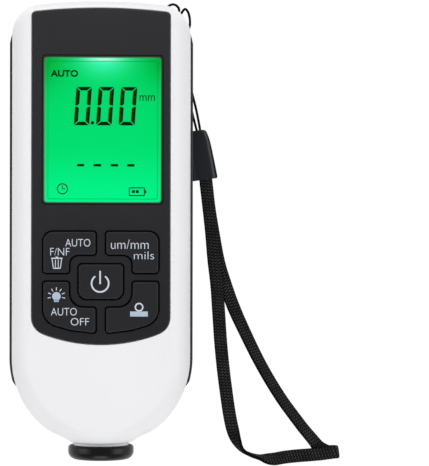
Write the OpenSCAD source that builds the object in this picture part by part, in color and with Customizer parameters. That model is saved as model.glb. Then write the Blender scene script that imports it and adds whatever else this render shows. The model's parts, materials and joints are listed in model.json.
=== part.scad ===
// Hand-held coating thickness gauge, lying on its back with the display facing up.
// The origin is under the middle of the case, on the surface it lies on. +Y points
// to the top of the case, away from the probe, and +X to the right of the display.

/* [Case] */
// Length from the top of the case to the probe's tip
overall_len = 120.5; // [114:0.5:130]
// Width of the case without its grips
body_w = 46.8; // [46:0.1:52]
// Thickness from the back to the front face
body_h = 26; // [25.6:0.1:29]
// Height of the joint between the two shells
part_z = 13; // [12.8:0.1:13.6]
// Thickness of the moulded walls
wall = 2; // [1.7:0.1:2.3]
// How far the front edge rounds in at the sides and the probe end
shoulder = 5.1; // [4.5:0.1:5.3]
// How far the front edge rounds in at the top end
top_shoulder = 2.4; // [1.8:0.1:2.6]
// How far the back edge rounds in
back_round = 4.5; // [3.8:0.1:5]
// How high the rounding of the back edge reaches
back_round_h = 10; // [8:0.5:11]
// Radius of the two corners at the top end
corner_r = 8; // [7:0.1:9]
// Radius of the gently curved top edge
top_arc_r = 150; // [120:1:170]
// Length that the neck cuts off the round probe end
nose_cut = 1.7; // [1.4:0.1:2]
// How much the round end draws in beside the neck
end_flare = 0.5; // [0:0.1:0.7]

/* [Grips] */
// How far the rubber side grips stand out
grip_proud = 0.75; // [0.4:0.05:0.9]
// Lower edge of the grips
grip_low = 5.2; // [4.8:0.1:6]
// Upper edge of the grips
grip_high = 12.3; // [11:0.1:12.5]
// Place of the grips' upper ends along the case
grip_top_y = 52.5; // [48:0.5:53]
// Length over which the grips rise at their upper ends
grip_taper = 2.5; // [2:0.5:6]
// Angle by which the grips run round the probe end
grip_wrap = 20; // [10:1:30]

/* [Front panel] */
// Distance from the case's sides to the dark panel
panel_side = 5.65; // [5.4:0.05:6]
// Thickness of the panel
panel_t = 1.2; // [1:0.1:1.4]
// How far the panel lies below the front face
panel_drop = 0.1; // [0.05:0.05:0.2]
// Gap between the panel and the shell round it
panel_gap = 0.2; // [0.1:0.05:0.3]
// Distance from the top of the case to the panel
panel_margin = 2.7; // [2.5:0.1:3]
// Place of the lowest point of the panel
panel_low_y = -29; // [-30:0.1:-28.6]
// Radius of the panel's lower edge
panel_arc_r = 42; // [38:1:60]
// Radius of the panel's lower corners
panel_corner_r = 4.6; // [3.6:0.1:5.2]
// Thickness of the shell under the panel
floor_t = 1.5; // [1.3:0.1:1.7]

/* [Display] */
// Width of the panel beside the window
win_side = 2.65; // [2.4:0.05:3.2]
// Height of the window
win_h = 37.5; // [34:0.1:38.5]
// Place of the window's middle across the case
win_x = 0.4; // [0:0.1:0.5]
// Place of the window's middle along the case
win_y = 26.3; // [25.9:0.1:26.8]
// How far the lens reaches under the panel
lens_lap = 1.1; // [0.8:0.1:1.3]
// Thickness of the liquid crystal glass
glass_t = 2; // [1.6:0.1:2.4]
// Gap between the lens and the glass
glass_gap = 0.3; // [0.2:0.05:0.6]

/* [Keys] */
// Width of the panel beside the keys
key_side = 2.75; // [2.5:0.05:3.2]
// Half of the space between the left and right keys
key_in_x = 1.15; // [0.9:0.05:1.4]
// Place of the keypad's upper edge
key_top_y = 0.2; // [0:0.1:0.6]
// Height of the two upper keys
upper_key_h = 11; // [10.4:0.1:11.4]
// Space between the upper and the lower keys
key_row_gap = 1.9; // [1.6:0.1:2.2]
// Distance from the keypad's upper edge to the power key
power_drop = 8.4; // [8.2:0.05:8.8]
// Width of the power key
power_w = 11.8; // [11.2:0.1:12]
// Height of the power key
power_h = 9.3; // [9:0.1:9.6]
// Space between the power key and the keys above and beside it
power_space = 2.1; // [1.8:0.1:2.4]
// Space between the power key and the keys below it
power_low_space = 1.85; // [1.6:0.05:2.1]
// Width of the panel's band below the lower keys
key_band = 2.7; // [2.2:0.1:3.2]
// Gap all round each key
key_gap = 0.2; // [0.15:0.05:0.3]
// How far the keys stand above the panel
key_proud = 0.45; // [0.3:0.05:0.6]
// Travel of the keys
key_travel = 0.8; // [0.5:0.05:0.9]
// Width of the rim that holds each key in
key_flange = 0.45; // [0.35:0.05:0.5]
// Thickness of that rim
key_flange_t = 1; // [0.8:0.1:1.2]

/* [Circuit board] */
// Thickness of the circuit board
board_t = 1.6; // [1.2:0.1:1.8]
// Height of the circuit board's underside
board_z = 15; // [14.8:0.1:15.2]
// Distance from the case's sides to the circuit board
board_side = 3; // [2.9:0.1:3.4]
// Place of the board's lower edge
board_low_y = -31; // [-32:0.1:-30.6]
// Distance from the case's sides to the board's screws
post_side = 5; // [4.8:0.1:5.1]
// Place of the board's upper screws along the case
post_high_y = 40; // [36:0.5:44]
// Place of the board's lower screws along the case
post_low_y = -24; // [-26:0.5:-20]

/* [Batteries] */
// Diameter of a battery cell
cell_d = 10.5; // [10:0.1:10.6]
// Length of a battery cell
cell_len = 44.5; // [43.5:0.1:45]
// Room for the contacts at each end of the cells
contact_room = 3.4; // [3:0.1:3.8]
// Gap between the cells and the walls of their bay
cell_gap = 0.3; // [0.2:0.05:0.4]
// Place of the bay's middle along the case
bay_y = 8; // [7:0.5:9]
// Thickness of the bay's walls
bay_wall = 1.2; // [1:0.1:1.4]
// Thickness of the battery door
door_t = 1.5; // [1.3:0.1:1.6]
// How far the door lies below the back
door_drop = 0.3; // [0.2:0.05:0.4]
// Gap round the battery door
door_gap = 0.25; // [0.2:0.05:0.35]
// Width of the battery door
door_w = 27; // [26.6:0.1:29]

/* [Probe] */
// Radius of the probe's black collar
collar_r = 8.6; // [8.2:0.05:8.8]
// Length of the collar
collar_len = 3.8; // [3.4:0.1:4.4]
// Radius of the collar's rounded face edge
collar_round = 2.1; // [1.4:0.1:2.4]
// Length of the shell's lip behind the collar
lip_len = 1; // [0.8:0.1:1.3]
// Radius of the lip
lip_r = 7.2; // [7:0.05:7.4]
// Radius of the tube that holds the sensor
tube_r = 6.1; // [5.9:0.05:6.2]
// Radius of the sensor's plunger
plunger_r = 4.5; // [4.2:0.05:4.6]
// How far the hard tip stands out, and its travel
tip_proud = 0.6; // [0.4:0.05:0.8]
// Radius of the hard tip
tip_r = 1.5; // [1.2:0.1:1.6]
// Clearance of round pieces that fit in one another
fit = 0.1; // [0.06:0.02:0.14]

/* [Screws] */
// Distance from the case's sides to the upper case screws
screw_high_side = 8.9; // [8.4:0.1:9.4]
// Place of the upper case screws
screw_high_y = 50.6; // [50.4:0.1:51.2]
// Distance from the case's sides to the lower case screws
screw_low_side = 6.4; // [6:0.1:6.8]
// Place of the lower case screws
screw_low_y = -38; // [-38.5:0.1:-37]
// Radius of the case screws
screw_r = 1.2; // [1:0.05:1.3]
// Radius of the columns that the case screws run in
column_r = 2.8; // [2.6:0.1:3]

/* [Wrist strap] */
// Diameter of the thin string
string_d = 0.66; // [0.56:0.02:0.7]
// Width of the webbing
webbing_w = 3.5; // [3.3:0.1:3.9]
// Thickness of the webbing
webbing_t = 1.1; // [0.9:0.1:1.2]

/* [Hidden] */
$fn = 48;
// Overlap of cutters past the faces that they cut
over = 1;
half_w = body_w / 2;
y_top = overall_len / 2;
face_y = -y_top + tip_proud;
neck_y = face_y + collar_len + lip_len;
end_y = neck_y - nose_cut + half_w;
// Wall left round the neck, beyond the ordinary wall
neck_wall = 2.5;
end_lift = neck_wall + nose_cut - wall;
// Segments of the curves in the case's outline and of its rounded edges
end_steps = 32;
corner_steps = 5;
top_steps = 6;
edge_steps = 6;
fillet_steps = 5;
// Place and width of the drawn-in stretch beside the neck
flare_x = collar_r + 2;
flare_w = 2.5;
// Depth of the grips in the shell, and their bevel
grip_root = wall / 2;
grip_edge = (grip_high - grip_low) / 8;
// The inner rounding is this much tighter than the outer one
inner_tighter = 1.5;

panel_w = body_w - 2 * panel_side;
panel_top_r = 1.2;
win_w = panel_w - 2 * win_side;
key_out_x = panel_w / 2 - key_side;
panel_z1 = body_h - panel_drop;
panel_z0 = panel_z1 - panel_t;
floor_z = panel_z0 - floor_t;
glass_z = floor_z - glass_gap - glass_t;
board_top = board_z + board_t;
lens_w = win_w + 2 * lens_lap;
lens_h = win_h + 2 * lens_lap;
glass_inset = 0.4;
glass_w = lens_w - 2 * glass_inset;
glass_h = lens_h - 2 * glass_inset;
lens_gap = 0.15;
key_top_z = panel_z1 + key_proud;
flange_z = floor_z - key_flange_t;
dome_z = flange_z - key_travel - fit;
key_bevel = 0.25;
power_top_y = key_top_y - power_drop;

board_w = body_w - 2 * board_side;
post_x = half_w - post_side;
screw_high_x = half_w - screw_high_side;
screw_low_x = half_w - screw_low_side;
tongue_gap = 0.15;
tongue_t = 0.9;
tongue_h = 1;
post_r = 1.8;
post_screw_r = 0.85;
board_high_y = screw_high_y - column_r - 0.3;
screw_head_r = 2.1;
head_gap = 0.2;
screw_head_h = 1.4;
screw_seat = 6;
// Depth of the screw holes in the columns and the board posts, and what the screws leave free
column_hole = 8;
post_hole = 4.5;
hole_rest = 0.5;
// Parts under the board, in proportion to its width
chip_w = 0.2 * board_w;
chip_t = 1.4;
buzzer_r = 0.11 * board_w;
buzzer_h = buzzer_r;
buzzer_x = 0.22 * board_w;
buzzer_gap = 0.7;

bay_w = 2 * cell_d + 3 * cell_gap;
bay_len = cell_len + 2 * contact_room;
cell_z = door_drop + door_t + 0.4 + cell_d / 2;
cell_x = (cell_d + cell_gap) / 2;
bay_z1 = cell_z + cell_d / 2 + cell_gap;
ledge_t = 1.2;
ledge_out = 1.5;
hinge_room = 3.8;
latch_room = 3.6;
door_y0 = bay_y - bay_len / 2 - bay_wall - latch_room;
door_y1 = bay_y + bay_len / 2 + bay_wall + hinge_room;
tab_x = 8;
tab_w = 5;
tab_reach = 2;
tab_room = 0.5;
tab_t = 0.9;
tab_z = wall + 0.1;
latch_w = 9;
latch_t = 0.8;
latch_h = 4;
latch_inset = 0.7;
// Contacts, in proportion to the cells
plate_w = 0.76 * cell_d;
plate_t = 0.4;
stud_r = 0.15 * cell_d;
coil_wide_r = 0.32 * cell_d;
coil_tip_r = 0.23 * cell_d;
coil_wire_r = 0.28;

spigot_len = 5;
tube_len = 13.2;
tube_wall = 1;
flange_r = tube_r - tube_wall - fit;
plunger_flange_t = 1.5;
plunger_len = 16;
stem_r = 3.4;
coil_r = 3;
core_r = 1.3;
cap_t = 1.2;
plug_len = 1.4;
spring_wire_r = 0.32;
// Stations of the probe, measured inwards from the collar's face
spigot_end = collar_len + spigot_len;
tube_end = spigot_end + tube_len;
plug_y = tube_end - plug_len;
flange_y = spigot_end + fit;
saddle_side = 3;
saddle_t = 1.6;
lead_t = 0.6;
lead_w = 4;

// Top right corner of the case, from which the strap's places are measured
corner = [half_w, y_top, 0];
// Ends of the straight tunnel that the string runs through, at the top right corner
tunnel_in = [half_w - 3, y_top - 2.9, 7];
tunnel_out = [half_w - 2.9, y_top - 11.2, 0.9];
tunnel_r = 1;
tunnel_wall = 0.6;

// Route of the string: x and y from the corner, then z, from the sleeve round the corner and back
string_places = [
  [3.05, -34.45, 1.7], [2.9, -32.85, 1.6], [2.45, -30.25, 1.3], [1.8, -27.05, 1], [1, -23.85, 0.8],
  [0.1, -20.25, 0.7], [-0.75, -16.25, 0.6], [-1.55, -13.25, 0.6], [-2.15, -11.65, 0.8],
  [-2.45, -10.05, 1.75], [-2.55, -6.25, 4.55], [-2.6, -3.35, 6.65], [-2.15, -1.95, 7.6],
  [-1.3, -1.1, 8], [-0.45, -2, 7.3], [0, -3.75, 5.7], [0, -5.35, 3.9], [-0.6, -6.25, 2.2],
  [-1.6, -5.75, 1], [-2.8, -4.55, 0.6], [-4.1, -3.65, 0.7], [-5.3, -2.85, 1.2], [-6.1, -1.85, 2.5],
  [-6.3, -0.9, 4.4], [-5.7, -0.2, 6.2], [-4.65, 0.15, 7.6], [-3.6, -0.25, 8.2], [-2.9, -1.35, 7.8],
  [-3.3, -3.05, 6.8], [-3.4, -6.65, 4.25], [-3.3, -10.05, 1.75], [-3, -11.85, 0.6],
  [-2.55, -13.05, 0.45], [-1.9, -15.25, 0.5], [-1.1, -19.25, 0.6], [-0.1, -24.65, 0.7],
  [0.9, -28.65, 1], [1.6, -31.45, 1.4], [2.1, -33.45, 1.6], [2.3, -34.65, 1.7]
];
string_route = [for (p = string_places) p + corner];

// Route of the webbing: x and y from the corner, then z, the plan angle and the tilt of its width
webbing_route = [
  [4.3, -44.85, 2.5, 7, 0], [4.6, -47.95, 2.5, 7, 0], [5.2, -53.05, 2.4, 6, 0],
  [6, -60.25, 2.3, 6, 0], [6.6, -67.25, 2.2, 5, 0], [7.45, -74.45, 2, 5, 0],
  [7.95, -81.15, 1.5, 5, 0], [8.55, -89.45, 0.7, 6, 0], [9.2, -96.15, 0.6, 7, 0],
  [9.9, -101.85, 0.6, 7, 0], [10.95, -109.05, 0.6, 9, 0], [11.85, -113.35, 1.1, 15, 20],
  [12.85, -116.25, 1.8, 28, 50], [14.3, -118.65, 2.1, 50, 80], [16.6, -119.95, 2.1, 68, 90],
  [19, -120.65, 2.1, 75, 100], [20.9, -121.05, 1.9, 85, 130], [23, -121.15, 1.4, 93, 155],
  [25.7, -120.75, 0.9, 98, 175], [28.9, -120.35, 1.3, 97, 180], [31.9, -120.05, 2.1, 96, 180],
  [35.1, -119.75, 2.4, 96, 180], [37.5, -119.45, 2.4, 97, 180], [39.1, -119.25, 2.3, 98, 180],
  [39.9, -119.25, 1.5, 98, 180], [39.1, -119.25, 0.7, 98, 180], [37.2, -119.15, 0.6, 82, 180],
  [34.9, -117.85, 0.75, 52, 172], [33.6, -116.25, 1.35, 41, 151], [31.5, -113.75, 1.5, 39, 145],
  [29.6, -111.35, 1.5, 37, 144], [24.5, -104.35, 1.5, 34, 144], [19.3, -95.65, 1.45, 28, 146],
  [14.5, -85.95, 1.25, 25, 155], [11.8, -79.85, 0.8, 22, 172], [9.8, -74.25, 0.6, 18, 180],
  [8, -68.35, 0.6, 16, 180], [6.6, -61.05, 0.7, 11, 180], [5.4, -53.85, 0.8, 9, 180],
  [4.7, -47.95, 1, 8, 180], [4.3, -44.85, 1, 8, 180]
];

// Sleeve between string and webbing: its ends, and its half width and thickness along it
sleeve_top = corner + [2.2, -33.05, 1.7];
sleeve_low = corner + [4, -46.25, 1.7];
sleeve_form = [
  [0, 2, 1.1], [0.06, 2.5, 1.4], [0.25, 3, 1.6], [0.6, 3.4, 1.65], [0.95, 3.7, 1.65], [1, 3.5, 1.5]
];

// Points from one angle to another on an arc, both ends included
function arc(c, r, a0, a1, n) =
  [for (i = [0:n]) let (a = a0 + (a1 - a0) * i / n) c + r * [cos(a), sin(a)]];

// Points of the round end, drawn in a little beside the neck
function drawn_in(points) =
  [for (p = points) p + [0, end_flare * exp(-pow((abs(p[0]) - flare_x) / flare_w, 2))]];

// Outline of the case, inset by d at the sides and by dt at the top, with its end lifted
function outline(d, dt, lift = 0) =
  let (w = half_w - d)
  let (rc = max(corner_r - d, 1.2))
  let (arc_y = y_top - dt - top_arc_r)
  let (cx = w - rc)
  let (cy = arc_y + sqrt(pow(top_arc_r - rc, 2) - cx * cx))
  let (turn = atan2(cy - arc_y, cx))
  concat(
    drawn_in(arc([0, end_y + lift], w, 180, 360, end_steps)),
    arc([cx, cy], rc, 0, turn, corner_steps),
    [for (i = [1:top_steps - 1])
      let (a = turn + (180 - 2 * turn) * i / top_steps)
      [0, arc_y] + top_arc_r * [cos(a), sin(a)]],
    arc([-cx, cy], rc, 180 - turn, 180, corner_steps)
  );

// Points of an outline raised to a height
function at_z(points, z) = [for (p = points) [p[0], p[1], z]];

function unit(v) = v / norm(v);

// Direction of a route at one of its points
function heading(route, i) =
  unit(route[min(i + 1, len(route) - 1)] - route[max(i - 1, 0)]);

// Closed polygon with each corner [x, y, r] rounded to its radius
function rounded(c) = [
  for (i = [0:len(c) - 1])
    let (p = [c[i][0], c[i][1]])
    let (q = c[(i + len(c) - 1) % len(c)])
    let (s = c[(i + 1) % len(c)])
    let (u = unit([q[0], q[1]] - p))
    let (v = unit([s[0], s[1]] - p))
    let (half = acos(u * v) / 2)
    let (m = p + unit(u + v) * c[i][2] / sin(half))
    let (side = sign(u[0] * v[1] - u[1] * v[0]))
    for (k = [0:fillet_steps])
      m + c[i][2] * fillet_dir(u, v, half, side, k / fillet_steps)
];

// Direction from a fillet's centre to the point a share t along it
function fillet_dir(u, v, half, side, t) =
  let (b = unit(u + v))
  let (a = (90 - half) * (2 * t - 1) * -side)
  -[b[0] * cos(a) - b[1] * sin(a), b[0] * sin(a) + b[1] * cos(a)];

// Solid through a row of rings of points, each anticlockwise seen from the last ring
module skin(rings) {
  n = len(rings[0]);
  m = len(rings);
  polyhedron(
    points = [for (r = rings) for (p = r) p],
    faces = concat(
      [[for (j = [0:n - 1]) j]],
      [for (i = [0:m - 2]) for (j = [0:n - 1])
        [i * n + j, (i + 1) * n + j, (i + 1) * n + (j + 1) % n]],
      [for (i = [0:m - 2]) for (j = [0:n - 1])
        [i * n + j, (i + 1) * n + (j + 1) % n, i * n + (j + 1) % n]],
      [[for (j = [n - 1:-1:0]) (m - 1) * n + j]]
    )
  );
}

// Carries a piece drawn along Z to the probe's axis, a distance in from the collar's face
module on_probe_axis(inwards = 0) {
  translate([0, face_y + inwards, part_z]) rotate([-90, 0, 0]) children();
}

module both_sides() {
  children();
  mirror([1, 0, 0]) children();
}

// Box centred in X, between two places along Y and two heights
module block(w, y0, y1, z0, z1) {
  translate([-w / 2, y0, z0]) cube([w, y1 - y0, z1 - z0]);
}

module case_screw_places() {
  both_sides() {
    translate([screw_high_x, screw_high_y, 0]) children();
    translate([screw_low_x, screw_low_y, 0]) children();
  }
}

module board_screw_places() {
  both_sides() {
    translate([post_x, post_high_y, 0]) children();
    translate([post_x, post_low_y, 0]) children();
  }
}

// Half round lip with its hollow fillet, on which the collar seats
module lip() {
  fillet = min(0.8, lip_len);
  on_probe_axis(collar_len) rotate_extrude() polygon(concat(
    [[0, 0], [lip_r, 0]],
    arc([lip_r + fillet, lip_len - fillet], fillet, 180, 90, fillet_steps),
    [[lip_r + fillet, lip_len + over], [0, lip_len + over]]
  ));
}

module neck_bore() {
  on_probe_axis() cylinder(r = tube_r + fit, h = spigot_end + over);
}

module beyond_neck() {
  translate([-half_w - over, neck_y - half_w, -over])
    cube([body_w + 2 * over, half_w, body_h + 2 * over]);
}

// Solid form of the front half, with its elliptic shoulder
module front_form() {
  skin([for (k = [0:edge_steps])
    let (a = 90 * k / edge_steps)
    let (s = 1 - cos(a))
    at_z(outline(shoulder * s, top_shoulder * s), part_z + (body_h - part_z) * sin(a))]);
}

module front_cavity() {
  in_side = shoulder - inner_tighter;
  skin(concat(
    [at_z(outline(wall, wall, end_lift), part_z - over)],
    [for (k = [0:edge_steps])
      let (a = 90 * k / edge_steps)
      let (s = 1 - cos(a))
      at_z(outline(wall + in_side * s, wall + top_shoulder * s, end_lift),
        part_z + (floor_z - part_z) * sin(a))]
  ));
}

// Solid form of the rear half, with its rounded back edge
module rear_form() {
  skin(concat(
    [for (k = [0:edge_steps])
      let (a = 90 - 90 * k / edge_steps)
      let (s = back_round * (1 - cos(a)))
      at_z(outline(s, s), back_round_h * (1 - sin(a)))],
    [at_z(outline(0, 0), part_z)]
  ));
}

module rear_cavity() {
  skin(concat(
    [for (k = [0:edge_steps])
      let (a = 90 - 90 * k / edge_steps)
      let (s = wall + back_round * (1 - cos(a)))
      at_z(outline(s, s, end_lift), wall + (back_round_h - wall) * (1 - sin(a)))],
    [at_z(outline(wall, wall, end_lift), part_z + over)]
  ));
}

// Outline of the panel, grown by g
function panel_outline(g) =
  let (w = panel_w / 2 + g)
  let (top_y = y_top - panel_margin + g)
  let (low_y = panel_low_y - g)
  let (low_r = panel_arc_r + g)
  let (n = 8)
  rounded(concat(
    [for (i = [0:n])
      let (x = -w + 2 * w * i / n)
      [x, low_y + low_r - sqrt(low_r * low_r - x * x), i == 0 || i == n ? panel_corner_r : 0.5]],
    [for (i = [0:n])
      let (x = w - 2 * w * i / n)
      [x, top_y - top_arc_r + sqrt(top_arc_r * top_arc_r - x * x), i == 0 || i == n ? panel_top_r : 0.5]]
  ));

// Outline of an upper key on the right, grown by g, from its outer corner
function upper_key(g) =
  let (low = key_top_y - upper_key_h)
  let (notch_x = power_w / 2 + power_space)
  let (notch_y = power_top_y + power_space)
  rounded([
    [key_out_x + g, key_top_y + g, 2.6 + g], [key_in_x - g, key_top_y + g, 0.8 + g],
    [key_in_x - g, notch_y - g, 0.8 + g], [notch_x - g, notch_y - g, 2.4 - g],
    [notch_x - g, low - g, 0.8 + g], [key_out_x + g, low - g, 0.8 + g]
  ]);

// Outline of a lower key on the right, grown by g, from its outer corner
function lower_key(g) =
  let (top = key_top_y - upper_key_h - key_row_gap)
  let (notch_x = power_w / 2 + power_space)
  let (notch_y = power_top_y - power_h - power_low_space)
  let (low_r = panel_arc_r - key_band + g)
  let (low_c = panel_low_y + panel_arc_r)
  let (x0 = key_in_x - g)
  let (x2 = key_out_x + g)
  let (x1 = (x0 + x2) / 2)
  rounded([
    [x2, low_c - sqrt(low_r * low_r - x2 * x2), 4.5 + g],
    [x2, top + g, 0.8 + g], [notch_x - g, top + g, 0.8 + g],
    [notch_x - g, notch_y + g, 3.6 - g], [x0, notch_y + g, 0.8 + g],
    [x0, low_c - sqrt(low_r * low_r - x0 * x0), 0.8 + g],
    [x1, low_c - sqrt(low_r * low_r - x1 * x1), 0.5]
  ]);

function power_key(g) =
  let (w = power_w / 2 + g)
  let (top = power_top_y + g)
  let (low = power_top_y - power_h - g)
  rounded([[w, top, 1 + g], [-w, top, 1 + g], [-w, low, 2.2 + g], [w, low, 2.2 + g]]);

// All five key outlines, grown by g
module key_outlines(g) {
  both_sides() {
    polygon(upper_key(g));
    polygon(lower_key(g));
  }
  polygon(power_key(g));
}

// Key cap with a bevelled top edge and the rim that keeps it in the shell
module key_cap(inner, body, rim) {
  color([0.17, 0.17, 0.18]) union() {
    translate([0, 0, flange_z]) linear_extrude(key_flange_t) polygon(rim);
    skin([at_z(body, floor_z - key_flange_t / 2), at_z(body, key_top_z - key_bevel), at_z(inner, key_top_z)]);
  }
}

module front_shell() {
  color([0.93, 0.93, 0.94]) difference() {
    union() {
      difference() {
        front_form();
        beyond_neck();
        front_cavity();
      }
      difference() {
        lip();
        translate([-half_w, -y_top, part_z - body_h]) cube([body_w, y_top, body_h]);
      }
      case_screw_places() translate([0, 0, part_z]) cylinder(r = column_r, h = floor_z - part_z);
      board_screw_places() translate([0, 0, board_top]) cylinder(r = post_r, h = floor_z - board_top);
    }
    translate([0, 0, panel_z0]) linear_extrude(panel_t + over) polygon(panel_outline(panel_gap));
    translate([0, 0, floor_z - over]) linear_extrude(floor_t + 2 * over) union() {
      translate([win_x, win_y]) square([lens_w + 2 * lens_gap, lens_h + 2 * lens_gap], center = true);
      key_outlines(key_gap);
    }
    neck_bore();
    case_screw_places() translate([0, 0, part_z - over]) cylinder(r = screw_r, h = over + column_hole);
    board_screw_places() translate([0, 0, board_top - over]) cylinder(r = post_screw_r, h = over + post_hole);
  }
}

// Cross-section of a grip as [distance out, height], standing out by p and grown by g
function grip_profile(p, g) = [
  [-grip_root - g, grip_low - g], [p - grip_edge + g, grip_low - g], [p + g, grip_low + grip_edge],
  [p + g, grip_high - grip_edge], [p - grip_edge + g, grip_high + g], [-grip_root - g, grip_high + g]
];

// Stations of the right grip: x, y, outward angle and how far it stands out
function grip_stations() = concat(
  [[half_w, grip_top_y, 0, 0], [half_w, grip_top_y - grip_taper, 0, grip_proud]],
  [for (i = [0:4])
    let (a = -grip_wrap * i / 4)
    [half_w * cos(a), end_y + half_w * sin(a), a, i == 4 ? 0 : grip_proud]]
);

// Right grip, carried down the straight side and a little way round the end
module grip_form(g) {
  skin([for (s = grip_stations())
    [for (p = grip_profile(s[3], g))
      [s[0] + p[0] * cos(s[2]), s[1] + p[0] * sin(s[2]), p[1]]]]);
}

module right_grip() {
  color([0.09, 0.09, 0.1]) grip_form(0);
}

module left_grip() {
  color([0.09, 0.09, 0.1]) mirror([1, 0, 0]) grip_form(0);
}

// Tunnel for the string, as a round bar of the given radius
module tunnel(r, past) {
  span = tunnel_out - tunnel_in;
  reach = norm(span);
  translate(tunnel_in - unit(span) * past)
    rotate([0, acos(span[2] / reach), atan2(span[1], span[0])])
      cylinder(r = r, h = reach + 2 * past);
}

// Rib under the sensor's tube, which is bored to seat it
module tube_saddle(y) {
  block(2 * (tube_r + saddle_side), y, y + saddle_t, wall / 2, part_z - tongue_gap);
}

module rear_shell() {
  color([0.1, 0.1, 0.11]) difference() {
    union() {
      difference() {
        rear_form();
        beyond_neck();
        rear_cavity();
      }
      difference() {
        lip();
        translate([-half_w, -y_top, part_z]) cube([body_w, y_top, body_h]);
      }
      translate([0, 0, part_z - 2]) linear_extrude(2) difference() {
        polygon(outline(wall - 0.4, wall - 0.4, end_lift - 0.4));
        polygon(outline(wall + tongue_gap + tongue_t, wall + tongue_gap + tongue_t, end_lift));
      }
      translate([0, 0, part_z - 1]) linear_extrude(1 + tongue_h) difference() {
        polygon(outline(wall + tongue_gap, wall + tongue_gap, end_lift));
        polygon(outline(wall + tongue_gap + tongue_t, wall + tongue_gap + tongue_t, end_lift));
      }
      case_screw_places() translate([0, 0, wall / 2]) cylinder(r = column_r, h = part_z - wall / 2);
      block(bay_w + 2 * bay_wall, bay_y - bay_len / 2 - bay_wall, bay_y + bay_len / 2 + bay_wall,
        wall / 2, bay_z1 + bay_wall);
      block(door_w + 2 * ledge_out, door_y0 - ledge_out, door_y1 + ledge_out, wall / 2, wall + ledge_t);
      tube_saddle(face_y + spigot_end + saddle_side);
      tube_saddle(face_y + tube_end - saddle_side);
      intersection() {
        tunnel(tunnel_r + tunnel_wall, 0);
        rear_form();
      }
    }
    block(bay_w, bay_y - bay_len / 2, bay_y + bay_len / 2, -over, bay_z1);
    block(door_w, door_y0, door_y1, -over, wall);
    both_sides() translate([tab_x, 0, 0])
      block(tab_w + 2 * tab_room, door_y1 - hinge_room, door_y1 + tab_reach + tab_room,
        wall, wall + hinge_room);
    block(latch_w + 2 * tab_room, door_y0, door_y0 + latch_room, wall, wall + ledge_t + over);
    neck_bore();
    on_probe_axis() cylinder(r = tube_r + fit, h = tube_end + cap_t + over);
    both_sides() grip_form(0.05);
    case_screw_places() {
      translate([0, 0, -over]) cylinder(r = screw_head_r + head_gap, h = over + screw_seat);
      cylinder(r = screw_r + tongue_gap, h = part_z + over);
      translate([0, 0, part_z]) cylinder(r = column_r + tongue_gap, h = tongue_h + over);
    }
    tunnel(tunnel_r, 2);
    // Thumb notch beside the latch
    translate([0, door_y0 - 1, -3.2]) rotate([0, 90, 0]) cylinder(r = 4, h = latch_w, center = true);
  }
}

module front_panel() {
  color([0.2, 0.2, 0.21]) translate([0, 0, panel_z0]) linear_extrude(panel_t) difference() {
    polygon(panel_outline(0));
    translate([win_x, win_y]) polygon(rounded([for (s = [[1, 1], [-1, 1], [-1, -1], [1, -1]])
      [s[0] * win_w / 2, s[1] * win_h / 2, 0.8]]));
    key_outlines(key_gap);
  }
}

module window_lens() {
  color([0.75, 0.9, 0.8, 0.4]) translate([win_x, win_y, floor_z + floor_t / 2])
    cube([lens_w, lens_h, floor_t], center = true);
}

// Two sheets of glass, the lower one with its contact ledge
module lcd_glass() {
  color([0.1, 0.85, 0.45]) translate([win_x, win_y, glass_z]) union() {
    translate([0, 0, glass_t * 3 / 4]) cube([glass_w, glass_h - 3, glass_t / 2], center = true);
    translate([0, 0, glass_t / 4]) cube([glass_w, glass_h, glass_t / 2], center = true);
  }
}

module backlight() {
  color([0.9, 0.95, 0.9]) translate([win_x, win_y, 0]) union() {
    block(glass_w + 0.4, -glass_h / 2 - 0.2, glass_h / 2 + 0.2, board_top, glass_z);
    // Corner stops that keep the glass in place
    for (x = [-1, 1], y = [-1, 1])
      translate([x * glass_w / 4, y * (glass_h / 2 + 0.4), (board_top + glass_z + 1) / 2])
        cube([4, 0.6, glass_z + 1 - board_top], center = true);
  }
}

module key_unit() {
  key_cap(upper_key(-key_gap - key_bevel), upper_key(-key_gap), upper_key(key_gap + key_flange));
}

module key_mode() {
  mirror([1, 0, 0]) key_unit();
}

module key_zero() {
  key_cap(lower_key(-key_gap - key_bevel), lower_key(-key_gap), lower_key(key_gap + key_flange));
}

module key_light() {
  mirror([1, 0, 0]) key_zero();
}

module key_power() {
  key_cap(power_key(-key_gap - key_bevel), power_key(-key_gap), power_key(key_gap + key_flange));
}

// Rubber mat with a dome under each key
module keypad_mat() {
  mat_t = 1.2;
  dome_x = (key_out_x + power_w / 2 + power_space) / 2;
  upper_y = key_top_y - upper_key_h / 2;
  lower_y = key_top_y - upper_key_h - key_row_gap - upper_key_h / 2;
  color([0.35, 0.35, 0.37]) union() {
    block(2 * key_out_x, lower_y - upper_key_h / 2, key_top_y, board_top, board_top + mat_t);
    for (p = [[dome_x, upper_y], [-dome_x, upper_y], [dome_x, lower_y], [-dome_x, lower_y],
        [0, power_top_y - power_h / 2]])
      translate([p[0], p[1], board_top + mat_t]) cylinder(r1 = 3.2, r2 = 2, h = dome_z - board_top - mat_t);
  }
}

module circuit_board() {
  color([0.1, 0.42, 0.22]) difference() {
    translate([0, 0, board_z]) linear_extrude(board_t) polygon(rounded([
      for (s = [[1, board_high_y], [-1, board_high_y], [-1, board_low_y], [1, board_low_y]])
        [s[0] * board_w / 2, s[1], 1.5]]));
    board_screw_places() translate([0, 0, board_z - over])
      cylinder(r = post_screw_r + 0.2, h = board_t + 2 * over);
  }
}

module control_chip() {
  chip_y = (bay_y + bay_len / 2 + bay_wall + board_high_y) / 2;
  color([0.12, 0.12, 0.12]) translate([0, chip_y, board_z - chip_t / 2])
    cube([chip_w, chip_w, chip_t], center = true);
}

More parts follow.
